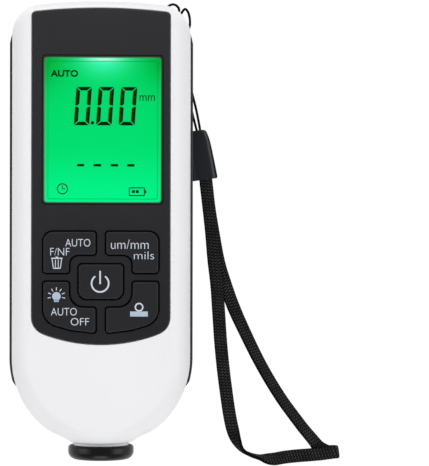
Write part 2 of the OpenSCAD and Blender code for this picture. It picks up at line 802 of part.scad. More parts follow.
module buzzer() {
  buzzer_y = board_low_y + buzzer_r + buzzer_gap;
  color([0.15, 0.15, 0.15]) translate([-buzzer_x, buzzer_y, board_z - buzzer_h]) difference() {
    cylinder(r = buzzer_r, h = buzzer_h);
    translate([0, 0, -over]) cylinder(r = 0.8, h = over + 1);
  }
}

module board_screws() {
  head_h = 0.8;
  color([0.7, 0.7, 0.72]) board_screw_places() translate([0, 0, board_z]) {
    translate([0, 0, -head_h]) cylinder(r = 1.7, h = head_h);
    translate([0, 0, -head_h / 2])
      cylinder(r = post_screw_r - 0.05, h = head_h / 2 + board_t + post_hole - hole_rest);
  }
}

module case_screws() {
  color([0.7, 0.7, 0.72]) case_screw_places() translate([0, 0, screw_seat]) difference() {
    union() {
      translate([0, 0, -screw_head_h]) cylinder(r = screw_head_r, h = screw_head_h);
      translate([0, 0, -screw_head_h / 2])
        cylinder(r = screw_r - 0.05, h = screw_head_h / 2 + part_z - screw_seat + column_hole - hole_rest);
    }
    for (a = [0, 90])
      rotate(a) translate([0, 0, -screw_head_h]) cube([2.4, 0.6, 1.2], center = true);
  }
}

// Door that swings on two tabs at its upper end and snaps shut at the other
module battery_door() {
  y0 = door_y0 + door_gap;
  y1 = door_y1 - door_gap;
  leg_y = y0 + latch_inset;
  color([0.1, 0.1, 0.11]) difference() {
    union() {
      block(door_w - 2 * door_gap, y0, y1, door_drop, door_drop + door_t);
      both_sides() translate([tab_x, 0, 0]) {
        block(tab_w, y1 - 2, y1, door_drop, tab_z + tab_t);
        block(tab_w, y1 - 2, door_y1 + tab_reach, tab_z, tab_z + tab_t);
      }
      translate([-latch_w / 2, 0, 0]) rotate([90, 0, 90]) linear_extrude(latch_w) polygon([
        [leg_y, door_drop + door_t / 2], [leg_y + latch_t, door_drop + door_t / 2],
        [leg_y + latch_t, door_drop + door_t + latch_h - latch_t],
        [leg_y + 2 * latch_t, door_drop + door_t + latch_h - latch_t],
        [leg_y + 2 * latch_t, door_drop + door_t + 1], [leg_y + 3 * latch_t, door_drop + door_t + 1],
        [leg_y + 3 * latch_t, door_drop + door_t + latch_h], [leg_y, door_drop + door_t + latch_h]
      ]);
    }
    // Finger ridges by the latch
    for (i = [0:3])
      block(latch_w, y0 + 3 + 2 * i, y0 + 4 + 2 * i, door_drop - over, door_drop + 0.4);
  }
}

// Round cell with its raised contact at the upper or the lower end
module cell(x, up) {
  nub = 1;
  color([0.72, 0.55, 0.2]) translate([x, bay_y, cell_z]) rotate([up ? -90 : 90, 0, 0])
    translate([0, 0, -cell_len / 2]) union() {
      cylinder(r = cell_d / 2, h = cell_len - nub);
      cylinder(r = cell_d / 5, h = cell_len);
    }
}

module battery_left() {
  cell(-cell_x, true);
}

module battery_right() {
  cell(cell_x, false);
}

// Contact plate against an end wall of the bay, with a stud for the cell's raised end
module contact_plate(x, end, stud) {
  color([0.75, 0.76, 0.78]) translate([x, bay_y + end * bay_len / 2, cell_z]) rotate([end * 90, 0, 0])
    union() {
      translate([-plate_w / 2, -plate_w / 2, 0]) cube([plate_w, plate_w, plate_t]);
      if (stud) cylinder(r = stud_r, h = contact_room);
    }
}

module contact_plates() {
  contact_plate(-cell_x, 1, true);
  contact_plate(cell_x, 1, false);
  contact_plate(-cell_x, -1, false);
  contact_plate(cell_x, -1, true);
}

// Coil of wire along Z that starts at radius r0 and ends at r1
module coil(r0, r1, h, turns, wire_r, sides, per_turn) {
  n = turns * per_turn;
  skin([for (i = [0:n])
    let (t = i / n)
    let (a = 360 * turns * t)
    let (r = r0 + (r1 - r0) * t)
    [for (k = [0:sides - 1])
      let (b = -360 * k / sides)
      [(r + wire_r * cos(b)) * cos(a), (r + wire_r * cos(b)) * sin(a),
        wire_r + (h - 2 * wire_r) * t + wire_r * sin(b)]]]);
}

module contact_spring(x, end) {
  color([0.75, 0.76, 0.78]) translate([x, bay_y + end * (bay_len / 2 - plate_t), cell_z])
    rotate([end * 90, 0, 0]) coil(coil_wide_r, coil_tip_r, contact_room - plate_t, 3, coil_wire_r, 5, 12);
}

module contact_springs() {
  contact_spring(cell_x, 1);
  contact_spring(-cell_x, -1);
}

// Collar with rounded edges, and the spigot that the shells clamp
module probe_collar() {
  edge = 0.8;
  bore = plunger_r + fit;
  mouth = 0.6;
  color([0.11, 0.11, 0.11]) on_probe_axis() rotate_extrude() polygon(concat(
    [[bore, mouth], [bore + mouth, 0]],
    arc([collar_r - collar_round, collar_round], collar_round, -90, 0, 2 * fillet_steps),
    arc([collar_r - edge, collar_len - edge], edge, 0, 90, fillet_steps),
    [[tube_r, collar_len], [tube_r, spigot_end], [bore, spigot_end]]
  ));
}

module probe_tube() {
  color([0.8, 0.8, 0.8]) on_probe_axis(spigot_end) difference() {
    cylinder(r = tube_r, h = tube_len);
    translate([0, 0, -over]) cylinder(r = tube_r - tube_wall, h = tube_len + 2 * over);
  }
}

// Sliding plunger: nose, stop flange and the stem inside the spring
module probe_plunger() {
  color([0.13, 0.13, 0.13]) on_probe_axis() rotate_extrude() polygon([
    [tip_r, 0.3], [plunger_r - 0.6, 0.3], [plunger_r, 0.9], [plunger_r, flange_y], [flange_r, flange_y],
    [flange_r, flange_y + plunger_flange_t], [stem_r, flange_y + plunger_flange_t], [stem_r, plunger_len],
    [core_r, plunger_len], [core_r, spigot_end], [coil_r, spigot_end], [coil_r, 3], [core_r, 3],
    [core_r, 1.8], [tip_r, 1.8]
  ]);
}

module probe_tip() {
  color([0.8, 0.8, 0.82]) on_probe_axis(-tip_proud) rotate_extrude() intersection() {
    translate([0, tip_r * 1.5]) circle(r = tip_r * 1.5);
    square([tip_r - 0.02, tip_proud + 1.8]);
  }
}

module sensor_core() {
  color([0.25, 0.25, 0.27]) on_probe_axis(1.8) cylinder(r = core_r - 0.02, h = plunger_len - 1.8);
}

module sensor_coil() {
  color([0.72, 0.4, 0.2]) on_probe_axis(3) difference() {
    cylinder(r = coil_r - 0.02, h = spigot_end - 3);
    translate([0, 0, -over]) cylinder(r = core_r + 0.02, h = spigot_end + over);
  }
}

module probe_spring() {
  y0 = flange_y + plunger_flange_t;
  color([0.75, 0.76, 0.78]) on_probe_axis(y0)
    coil((stem_r + flange_r) / 2, (stem_r + flange_r) / 2, plug_y - y0, 6, spring_wire_r, 6, 14);
}

module probe_cap() {
  color([0.13, 0.13, 0.13]) on_probe_axis(plug_y) rotate_extrude() polygon([
    [0, 0], [tube_r - tube_wall - 0.02, 0], [tube_r - tube_wall - 0.02, plug_len], [tube_r, plug_len],
    [tube_r, plug_len + cap_t], [0, plug_len + cap_t]
  ]);
}

// Flat lead from the probe's cap to the underside of the board
module probe_lead() {
  y0 = face_y + tube_end + cap_t;
  y1 = board_low_y + 2;
  color([0.45, 0.45, 0.48]) translate([-lead_w / 2, 0, 0]) rotate([90, 0, 90]) linear_extrude(lead_w)
    polygon([
      [y0, part_z - lead_t / 2], [y1, part_z - lead_t / 2], [y1, board_z], [y1 - lead_t, board_z],
      [y1 - lead_t, part_z + lead_t / 2], [y0, part_z + lead_t / 2]
    ]);
}

// Side directions carried along a route with as little turning as possible
function carried(route, i) =
  i == 0
    ? unit(cross(heading(route, 0), [0, 0, 1]))
    : let (t = heading(route, i)) let (u = carried(route, i - 1)) unit(u - (u * t) * t);

module strap_cord() {
  sides = 8;
  color([0.05, 0.05, 0.05]) skin([for (i = [0:len(string_route) - 1])
    let (t = heading(string_route, i))
    let (u = carried(string_route, i))
    let (v = cross(t, u))
    [for (k = [0:sides - 1])
      let (a = 360 * k / sides)
      string_route[i] + string_d / 2 * (cos(a) * u + sin(a) * v)]]);
}

// Flat band with softened edges, its width turned as the route says
module strap_webbing() {
  places = [for (p = webbing_route) corner + [p[0], p[1], p[2]]];
  edge = [[1, 0.45], [0.85, 1], [-0.85, 1], [-1, 0.45], [-1, -0.45], [-0.85, -1], [0.85, -1], [1, -0.45]];
  color([0.08, 0.08, 0.08]) skin([for (i = [0:len(places) - 1])
    let (p = webbing_route[i])
    let (t = heading(places, i))
    let (w0 = [cos(p[3]) * cos(p[4]), sin(p[3]) * cos(p[4]), sin(p[4])])
    let (w = unit(w0 - (w0 * t) * t))
    let (n = cross(t, w))
    [for (e = edge) places[i] + e[0] * webbing_w / 2 * w + e[1] * webbing_t / 2 * n]]);
}

// Moulded sleeve that joins the string to the webbing
module strap_sleeve() {
  t = unit(sleeve_low - sleeve_top);
  w = unit(cross([0, 0, 1], t));
  n = cross(t, w);
  edge = [[1, 0.2], [0.8, 0.85], [0.5, 1], [-0.5, 1], [-0.8, 0.85], [-1, 0.2],
    [-1, -0.6], [-0.9, -1], [0.9, -1], [1, -0.6]];
  color([0.15, 0.16, 0.17]) skin([for (f = sleeve_form)
    let (c = sleeve_top + (sleeve_low - sleeve_top) * f[0])
    [for (e = edge) c + e[0] * f[1] * w + e[1] * f[2] * n]]);
}

front_shell();
rear_shell();
left_grip();
right_grip();
front_panel();
window_lens();
lcd_glass();
backlight();
key_mode();
key_unit();
key_power();
key_light();
key_zero();
keypad_mat();
circuit_board();
control_chip();
buzzer();
board_screws();
case_screws();
battery_door();
battery_left();
battery_right();
contact_plates();
contact_springs();
probe_collar();
probe_tube();
probe_plunger();
probe_tip();
sensor_core();
sensor_coil();
probe_spring();
probe_cap();
probe_lead();
strap_cord();
strap_sleeve();
strap_webbing();
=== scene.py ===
"""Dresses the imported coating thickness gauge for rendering.

The case, panel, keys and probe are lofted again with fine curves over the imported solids, the
display and the key marks are drawn, and the wrist strap is laid along its route. Sizes are in
millimetres, in the shared frame: +Z out of the display, +Y to the top of the case.
"""

import json
import logging
import math
from dataclasses import dataclass, field
from enum import Enum
from typing import Any, Callable, Iterable, Mapping, Optional, Sequence, Union

import bmesh
import bpy
import numpy as np
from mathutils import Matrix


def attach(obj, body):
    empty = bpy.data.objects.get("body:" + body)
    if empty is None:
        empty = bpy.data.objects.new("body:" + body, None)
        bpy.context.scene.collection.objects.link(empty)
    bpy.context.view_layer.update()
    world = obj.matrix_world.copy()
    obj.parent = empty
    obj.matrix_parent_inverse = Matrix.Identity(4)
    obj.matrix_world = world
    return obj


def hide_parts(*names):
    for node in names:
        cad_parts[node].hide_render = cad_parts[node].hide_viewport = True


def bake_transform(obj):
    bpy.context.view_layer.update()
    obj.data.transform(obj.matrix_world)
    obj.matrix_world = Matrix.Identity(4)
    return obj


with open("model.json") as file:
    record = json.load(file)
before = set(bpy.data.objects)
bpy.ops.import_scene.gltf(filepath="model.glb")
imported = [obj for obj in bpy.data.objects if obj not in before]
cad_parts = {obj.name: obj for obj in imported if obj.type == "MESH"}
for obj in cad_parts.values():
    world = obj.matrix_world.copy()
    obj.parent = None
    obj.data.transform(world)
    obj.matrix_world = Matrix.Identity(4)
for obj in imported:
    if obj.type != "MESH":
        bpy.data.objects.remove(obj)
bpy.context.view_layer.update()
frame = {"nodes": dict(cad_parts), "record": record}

MM = 0.001
CASE_BODY = "case"
PROBE_BODY = "sensor"
# Metres within which points are merged, and below which an edge is dropped
MERGE_M = 1e-7
SLIVER_M = 1e-8
# Lap that keeps two faces apart, and how far a cutter reaches past what it cuts
SKIN = 0.01
CLEAR = 1.0
LOG = logging.getLogger("gauge")

Array = np.ndarray
Colour = tuple[float, float, float]
Pair = tuple[float, float]
Triple = tuple[float, float, float]


# Geometry on grids


def arc(centre: Sequence[float], radius: float, start: float, end: float, steps: int) -> Array:
    """Points at equal angles on a circle's arc, both ends included.

    Args:
        centre: Middle of the circle.
        radius: Its radius.
        start: First angle in degrees.
        end: Last angle in degrees.
        steps: Number of segments.

    Returns:
        Array of shape (steps + 1, 2).
    """
    angle = np.radians(np.linspace(start, end, steps + 1))
    return np.asarray(centre) + radius * np.stack([np.cos(angle), np.sin(angle)], axis=1)


def unit(vectors: Array) -> Array:
    """Vectors scaled to length 1."""
    return vectors / np.linalg.norm(vectors, axis=-1, keepdims=True)


def quarter(steps: int) -> Array:
    """Angles of a quarter turn from 0 to 90 degrees, in radians."""
    return np.radians(np.linspace(0, 90, steps + 1))


def round_section(radius: float, sides: int) -> Array:
    """Points at equal angles round a circle about the origin."""
    return arc((0, 0), radius, 0, 360, sides)[:-1]


def rounded(corners: Sequence[Sequence[float]], steps: int = 10) -> Array:
    """Closed polygon with each corner [x, y, r] replaced by a fillet.

    A fillet's centre lies on the corner's bisector, at r / sin(half the corner's angle), and its
    points turn about that centre through 180 degrees less the corner's angle.

    Args:
        corners: Corners in order, each with its radius.
        steps: Segments in each fillet.

    Returns:
        Array of shape (corners * (steps + 1), 2).
    """
    data = np.asarray(corners, dtype=float)
    point, radius = data[:, :2], data[:, 2:3]
    back = unit(np.roll(point, 1, axis=0) - point)
    ahead = unit(np.roll(point, -1, axis=0) - point)
    half = np.arccos(np.clip((back * ahead).sum(1, keepdims=True), -1, 1)) / 2
    bisector = unit(back + ahead)
    middle = point + bisector * radius / np.sin(half)
    side = np.sign(back[:, :1] * ahead[:, 1:] - back[:, 1:] * ahead[:, :1])
    share = np.linspace(-1, 1, steps + 1)[None, :]
    turn = -side * (np.pi / 2 - half) * share
    cos, sin = np.cos(turn), np.sin(turn)
    x = bisector[:, :1] * cos - bisector[:, 1:] * sin
    y = bisector[:, :1] * sin + bisector[:, 1:] * cos
    ring = middle[:, None, :] - radius[:, :, None] * np.stack([x, y], axis=2)
    return ring.reshape(-1, 2)


def at_z(ring: Array, z: float) -> Array:
    """Ring of plan points raised to a height."""
    return np.column_stack([ring, np.full(len(ring), z)])


def spline(points: Array, per_span: int) -> Array:
    """Catmull-Rom curve: each span blends its four nearest points with the usual cubic weights.

    Args:
        points: Array of shape (n, k), of any k values per point.
        per_span: Samples in each span.

    Returns:
        Array of shape ((n - 1) * per_span + 1, k).
    """
    padded = np.vstack([2 * points[0] - points[1], points, 2 * points[-1] - points[-2]])
    t = np.linspace(0, 1, per_span, endpoint=False)[None, :, None]
    p0, p1, p2, p3 = (padded[i : len(padded) - 3 + i, None, :] for i in range(4))
    curve = 0.5 * (
        2 * p1
        + (p2 - p0) * t
        + (2 * p0 - 5 * p1 + 4 * p2 - p3) * t**2
        + (3 * p1 - p0 - 3 * p2 + p3) * t**3
    )
    return np.vstack([curve.reshape(-1, points.shape[1]), points[-1:]])


def distances(path: Array) -> Array:
    """Distance along a path to each of its points, from 0 at the first."""
    return np.concatenate([[0.0], np.cumsum(np.linalg.norm(np.diff(path, axis=0), axis=1))])


def directions(path: Array) -> Array:
    """Unit direction of a path at each of its points, from the points beside it."""
    return unit(np.gradient(path, axis=0))


def sweep(path: Array, first: Array, second: Array, section: Array) -> Array:
    """Grid of a section carried along a path: middle + u * first direction + v * second direction.

    Args:
        path: Middle of each station, of shape (n, 3).
        first: Direction of the section's u at each station, or one for all of them.
        second: Direction of its v, likewise.
        section: Pairs [u, v], of shape (k, 2), or (n, k, 2) where it changes along the path.

    Returns:
        Array of shape (n, k, 3).
    """
    u, v = section[..., :1], section[..., 1:]
    return path[:, None] + u * first[..., None, :] + v * second[..., None, :]


def pattern(along: Array, across: Array) -> Array:
    """UV of a grid, with U from the row and V from the column."""
    return np.stack(np.broadcast_arrays(along[:, None], across[None, :]), axis=2)


@dataclass
class Solid:
    """Points and faces of a piece while it is put together.

    Attributes:
        points: Blocks of points, each of shape (n, 3).
        faces: Faces as lists of indices into all the points.
        uvs: One pair for each point, where a pattern follows the surface.
    """

    points: list[Array] = field(default_factory=list)
    faces: list[list[int]] = field(default_factory=list)
    uvs: list[Array] = field(default_factory=list)

    def count(self) -> int:
        """Number of points so far."""
        return sum(len(block) for block in self.points)

    def add(self, points: Array, uv: Optional[Array] = None) -> "Solid":
        """Adds a block of points, with a pair for each where there is a pattern.

        Args:
            points: Points [x, y, z].
            uv: Pair for each point, or None.

        Returns:
            The solid itself.
        """
        self.points.append(points)
        self.uvs.append(np.zeros((len(points), 2)) if uv is None else uv)
        return self

    def grid(self, xyz: Array, wrap: bool = True, uv: Optional[Array] = None) -> "Solid":
        """Adds a surface on a grid of points, in quads between neighbouring rows and columns.

        Args:
            xyz: Array of shape (rows, columns, 3).
            wrap: Whether the last column joins the first.
            uv: Array of shape (rows, columns, 2) for a pattern, if any.

        Returns:
            This solid.
        """
        rows, columns = xyz.shape[:2]
        index = np.arange(rows * columns).reshape(rows, columns) + self.count()
        right = np.roll(index, -1, axis=1)
        if not wrap:
            index, right = index[:, :-1], right[:, :-1]
        quads = np.stack([index[:-1], index[1:], right[1:], right[:-1]], axis=-1).reshape(-1, 4)
        self.faces.extend(quads.tolist())
        return self.add(xyz.reshape(-1, 3), None if uv is None else uv.reshape(-1, 2))

    def loft(self, rings: Union[Array, Sequence[Array]], uv: Optional[Array] = None) -> "Solid":
        """Adds a closed solid through rings of points, with a flat cap on the first and the last.

        Args:
            rings: Rings with the same number of points.
            uv: Pair for each point, or None.

        Returns:
            The solid itself.
        """
        xyz, start = np.asarray(rings), self.count()
        rows, columns = xyz.shape[:2]
        last = start + (rows - 1) * columns
        self.grid(xyz, uv=uv)
        self.faces.append(list(range(start, start + columns)))
        self.faces.append(list(range(last + columns - 1, last - 1, -1)))
        return self

    def flat(self, ring: Array) -> "Solid":
        """Adds one flat face bounded by a ring of points.

        Args:
            ring: Points round the face.

        Returns:
            The solid itself.
        """
        start = self.count()
        self.faces.append(list(range(start, start + len(ring))))
        return self.add(ring)

    def mesh(self, name: str, closed: bool = True) -> bpy.types.Mesh:
        """Turns the gathered faces into a mesh in metres, with doubles merged.

        Args:
            name: Name of the mesh.
            closed: Whether it bounds a volume, so that its faces can be turned outwards.

        Returns:
            The new mesh.
        """
        data = bpy.data.meshes.new(name)
        data.from_pydata((np.vstack(self.points) * MM).tolist(), [], self.faces)
        corner = np.empty(len(data.loops), dtype=np.int32)
        data.loops.foreach_get("vertex_index", corner)
        layer = data.uv_layers.new(name="UVMap")
        layer.data.foreach_set("uv", np.vstack(self.uvs)[corner].astype(np.float32).ravel())
        work = bmesh.new()
        work.from_mesh(data)
        bmesh.ops.remove_doubles(work, verts=work.verts, dist=MERGE_M)
        bmesh.ops.dissolve_degenerate(work, edges=work.edges, dist=SLIVER_M)
        if closed:
            bmesh.ops.recalc_face_normals(work, faces=work.faces)
        work.to_mesh(data)
        work.free()
        return data

    def piece(self, name: str, closed: bool = True) -> bpy.types.Object:
        """New object at the origin that shows the gathered faces."""
        return place(name, self.mesh(name, closed))


class Cut(Enum):
    """How one solid is combined with another."""

    AWAY = "DIFFERENCE"
    ONTO = "UNION"

    def all(self, *solids: Solid) -> list[tuple["Cut", Solid]]:
        """Steps that combine each of these solids in the same way."""
        return [(self, solid) for solid in solids]


def place(name: str, data: bpy.types.ID) -> bpy.types.Object:
    """New object at the origin that shows a mesh, a curve, a lamp or a camera.

    Args:
        name: Name of the object.
        data: What it shows.

    Returns:
        The object.
    """
    made = bpy.data.objects.new(name, data)
    bpy.context.scene.collection.objects.link(made)
    return made


def combine(base: bpy.types.Object, steps: Iterable[tuple[Cut, Solid]]) -> bpy.types.Object:
    """Cuts solids out of a piece, or adds them to it, and applies the result to its mesh.

    Args:
        base: Piece to work on.
        steps: Solids in order, with how each is combined.

    Returns:
        The same object with its new mesh.
    """
    for number, (how, solid) in enumerate(steps):
        tool = solid.piece(f"{base.name}_tool{number}")
        change = base.modifiers.new("combine", "BOOLEAN")
        change.operation = how.value
        change.object = tool
        change.solver = "EXACT"
        graph = bpy.context.evaluated_depsgraph_get()
        made = bpy.data.meshes.new_from_object(base.evaluated_get(graph))
        base.modifiers.remove(change)
        old, base.data = base.data, made
        bpy.data.meshes.remove(old)
        tool_mesh = tool.data
        bpy.data.objects.remove(tool)
        bpy.data.meshes.remove(tool_mesh)
    return base


def soften(piece: bpy.types.Object, angle: float = 28.0) -> bpy.types.Object:
    """Smooth shading, with edges sharper than an angle left crisp.

    Args:
        piece: Piece to shade.
        angle: Angle in degrees.

    Returns:
        The piece.
    """
    data = piece.data
    data.polygons.foreach_set("use_smooth", np.ones(len(data.polygons), dtype=bool))
    data.set_sharp_from_angle(angle=math.radians(angle))
    return piece


def prism(ring: Array, z0: float, z1: float) -> Solid:
    """Upright solid over a plan ring, between two heights."""
    return Solid().loft([at_z(ring, z0), at_z(ring, z1)])


def box(x: Sequence[float], y: Sequence[float], z: Sequence[float]) -> Solid:
    """Box between two places along each axis."""
    ring = np.array([[x[0], y[0]], [x[1], y[0]], [x[1], y[1]], [x[0], y[1]]])
    return prism(ring, z[0], z[1])


def rod(start: Sequence[float], end: Sequence[float], radius: float, sides: int = 64) -> Solid:
    """Round bar between two points.

    Args:
        start: Middle of one end.
        end: Middle of the other.
        radius: Its radius.
        sides: Number of its flat sides.

    Returns:
        The closed solid.
    """
    ends = np.array([start, end], dtype=float)
    axis = unit(ends[1] - ends[0])
    beside = [0.0, 0.0, 1.0] if abs(axis[2]) < 0.9 else [1.0, 0.0, 0.0]
    first = unit(np.cross(axis, beside))
    return Solid().loft(sweep(ends, first, np.cross(axis, first), round_section(radius, sides)))


def lathe(profile: Array, sides: int = 96) -> Array:
    """Grid of a profile [radius, distance] turned about the probe's axis.

    A point is (r cos a, face + d, axis height + r sin a).

    Args:
        profile: Array of shape (n, 2).
        sides: Columns round the axis.

    Returns:
        Array of shape (n, sides, 3).
    """
    angle = np.linspace(0, 2 * np.pi, sides, endpoint=False)[None, :]
    r, d = profile[:, :1], profile[:, 1:]
    x, z = r * np.cos(angle), Case.part_z + r * np.sin(angle)
    y = np.broadcast_to(Case.face_y + d, x.shape)
    return np.stack([x, y, z], axis=2)


# Shaders


Value = Union["Wire", bpy.types.NodeSocket, float]


class Wire:
    """A value in a shader tree that takes part in Python expressions."""

    def __init__(self, shader: "Shader", socket: bpy.types.NodeSocket) -> None:
        """Keeps the socket and the tree that it belongs to."""
        self.shader = shader
        self.socket = socket

    def __add__(self, other: Value) -> "Wire":
        """Sum."""
        return self.shader.math("ADD", self, other)

    __radd__ = __add__

    def __sub__(self, other: Value) -> "Wire":
        """Difference."""
        return self.shader.math("SUBTRACT", self, other)

    def __rsub__(self, other: Value) -> "Wire":
        """Difference from a number."""
        return self.shader.math("SUBTRACT", other, self)

    def __mul__(self, other: Value) -> "Wire":
        """Product."""
        return self.shader.math("MULTIPLY", self, other)

    __rmul__ = __mul__

    def __truediv__(self, other: Value) -> "Wire":
        """Quotient."""
        return self.shader.math("DIVIDE", self, other)

    def __rtruediv__(self, other: Value) -> "Wire":
        """Quotient of a number."""
        return self.shader.math("DIVIDE", other, self)

    def __abs__(self) -> "Wire":
        """Size without its sign."""
        return self.shader.math("ABSOLUTE", self)


class Coords(Enum):
    """Coordinates that a pattern is laid on: the piece's place in space, or its own UV."""

    PIECE = "Object"
    SURFACE = "UV"


class Shader:
    """A material under construction, with its Principled surface."""

    def __init__(self, name: str) -> None:
        """Starts a material that holds only a surface and its output.

        Args:
            name: Name of the material.
        """
        self.material = bpy.data.materials.new(name)
        self.material.use_nodes = True
        self.tree = self.material.node_tree
        self.tree.nodes.clear()
        self.surface = self.node("ShaderNodeBsdfPrincipled")
        self.output = self.node("ShaderNodeOutputMaterial", inputs={"Surface": self.surface.outputs[0]})

    def node(
        self,
        kind: str,
        settings: Optional[Mapping[str, Any]] = None,
        inputs: Optional[Mapping[Union[str, int], Any]] = None,
    ) -> bpy.types.Node:
        """Adds a node.

        Args:
            kind: Blender's name of the node's type.
            settings: Attributes, which are set first.
            inputs: Values or links for its sockets, by name or number.

        Returns:
            The node.
        """
        made = self.tree.nodes.new(kind)
        for key, value in (settings or {}).items():
            setattr(made, key, value)
        for key, value in (inputs or {}).items():
            self.feed(made.inputs[key], value)
        return made

    def feed(self, socket: bpy.types.NodeSocket, value: Any) -> None:
        """Links a socket to another one, or sets its number.

        Args:
            socket: Socket that takes the value.
            value: Wire, socket, number or colour.
        """
        if isinstance(value, Wire):
            self.tree.links.new(value.socket, socket)
        elif isinstance(value, bpy.types.NodeSocket):
            self.tree.links.new(value, socket)
        elif isinstance(value, (tuple, list)) and len(value) == 3 and socket.type == "RGBA":
            socket.default_value = (*value, 1.0)
        else:
            socket.default_value = value

    def math(self, operation: str, *values: Value) -> Wire:
        """One step of arithmetic on values."""
        made = self.node("ShaderNodeMath", {"operation": operation}, dict(enumerate(values)))
        return Wire(self, made.outputs[0])

    def axes(self, source: Coords = Coords.PIECE) -> tuple[Wire, Wire, Wire]:
        """The three coordinates of a surface point, in metres, or in pattern units for UV."""
        split = self.node("ShaderNodeSeparateXYZ", inputs={0: self.point(source)})
        return tuple(Wire(self, out) for out in split.outputs)

    def point(self, source: Coords = Coords.PIECE) -> bpy.types.NodeSocket:
        """The coordinates of a surface point as a vector."""
        return self.node("ShaderNodeTexCoord").outputs[source.value]

    def noise(self, size: float, detail: float) -> Wire:
        """Cloudy pattern from 0 to 1 whose blotches are about a size in metres.

        Args:
            size: Size of the blotches.
            detail: Number of finer layers.

        Returns:
            The pattern.
        """
        made = self.node(
            "ShaderNodeTexNoise",
            inputs={"Vector": self.point(), "Scale": 1.0 / size, "Detail": detail, "Roughness": 0.55},
        )
        return Wire(self, made.outputs["Fac"])

    def mix(self, share: Value, first: Any, second: Any) -> bpy.types.NodeSocket:
        """Colour that goes from the first to the second as the share rises from 0 to 1."""
        made = self.node("ShaderNodeMix", {"data_type": "RGBA"}, {0: share, 6: first, 7: second})
        return made.outputs[2]

    def bell(self, squared: Wire) -> Wire:
        """Bell that falls from 1 as a squared distance grows: e to the power of its negative."""
        return self.math("EXPONENT", squared * -1.0)

    def bump(self, height: Value, depth: float) -> None:
        """Gives the surface relief of a depth in metres from a height between 0 and 1."""
        made = self.node("ShaderNodeBump", inputs={"Strength": 1.0, "Distance": depth, "Height": height})
        self.feed(self.surface.inputs["Normal"], made.outputs[0])

    def set(self, **values: Any) -> "Shader":
        """Sets the surface's sockets, with underscores for the spaces in their names.

        Args:
            values: Value for each socket.

        Returns:
            The shader itself.
        """
        for key, value in values.items():
            self.feed(self.surface.inputs[key.replace("_", " ")], value)
        return self


@dataclass(frozen=True)
class Finish:
    """A finish, from which a material is built.

    Attributes:
        name: Name of the material.
    """

    name: str

    def material(self) -> bpy.types.Material:
        """Builds the material.

        Returns:
            The material.
        """
        shader = Shader(self.name)
        self.paint(shader)
        return shader.material

    def paint(self, shader: Shader) -> None:
        """Sets up the surface."""
        raise NotImplementedError


@dataclass(frozen=True)
class Moulded(Finish):
    """Moulded plastic or rubber: fine spark texture, faint flow clouds, uneven gloss and, where set, a
    painted sheen towards the top of the case.

    Attributes:
        colour: Base colour.
        roughness: Middle roughness.
        grain: Size of the texture in metres.
        depth: Depth of the texture in metres.
        cloud: Share by which the colour drifts over the piece.
        gloss: Strength of the plain reflection.
        painted_sheen: Share by which the colour is painted lighter at the top of the case than at its probe
            end, as a painted sheen.
        span: Length of the case in metres, over which the painted sheen fades.
        cloud_size: Size of the clouds in metres.
        cloud_matt: Change of roughness with the clouds.
        grain_matt: Change of roughness with the texture.
    """

    colour: Colour
    roughness: float = 0.45
    grain: float = 0.00025
    depth: float = 0.000008
    cloud: float = 0.06
    gloss: float = 0.5
    painted_sheen: float = 0.0
    span: float = 0.12
    cloud_size: float = 0.018
    cloud_matt: float = 0.12
    grain_matt: float = 0.08

    def paint(self, shader: Shader) -> None:
        """Colour from a darker to a lighter shade with the clouds, and lighter towards the top of the case
        as a painted sheen.

        Args:
            shader: Shader of the material.
        """
        drift = shader.noise(self.cloud_size, detail=2.0)
        fine = shader.noise(self.grain, detail=2.0)
        _, y, _ = shader.axes()
        spread = 2 * self.cloud + self.painted_sheen
        darker = tuple(c * (1 - spread) for c in self.colour)
        lighter = tuple(min(1.0, c * (1 + spread)) for c in self.colour)
        # The part along y is a painted sheen, lighter towards the top of the case.
        change = (drift - 0.5) * 2 * self.cloud + y * (self.painted_sheen / self.span)
        uneven = (drift - 0.5) * self.cloud_matt + (fine - 0.5) * self.grain_matt
        shader.set(
            Base_Color=shader.mix(0.5 + change / spread, darker, lighter),
            Specular_IOR_Level=self.gloss,
            Roughness=self.roughness + uneven,
        )
        shader.bump(fine, self.depth)


@dataclass(frozen=True)
class Metal(Finish):
    """Plated or turned metal with a fine grain and faint stains.

    Attributes:
        colour: Base colour.
        roughness: Middle roughness.
        grain: Size of the grain in metres.
        depth: Depth of the grain in metres.
        grain_matt: Change of roughness with the grain.
        stain: Size of the stains in metres.
        stained: Share of the colour that a stain leaves.
    """

    colour: Colour
    roughness: float = 0.3
    grain: float = 0.0002
    depth: float = 0.000004
    grain_matt: float = 0.2
    stain: float = 0.004
    stained: float = 0.85

    def paint(self, shader: Shader) -> None:
        """Metal whose colour goes with the stains and whose gloss goes with the grain.

        Args:
            shader: Shader of the material.
        """
        fine = shader.noise(self.grain, detail=4.0)
        stain = shader.noise(self.stain, detail=3.0)
        shader.set(
            Base_Color=shader.mix(stain, tuple(c * self.stained for c in self.colour), self.colour),
            Metallic=1.0,
            Roughness=self.roughness + (fine - 0.5) * self.grain_matt,
        )
        shader.bump(fine, self.depth)


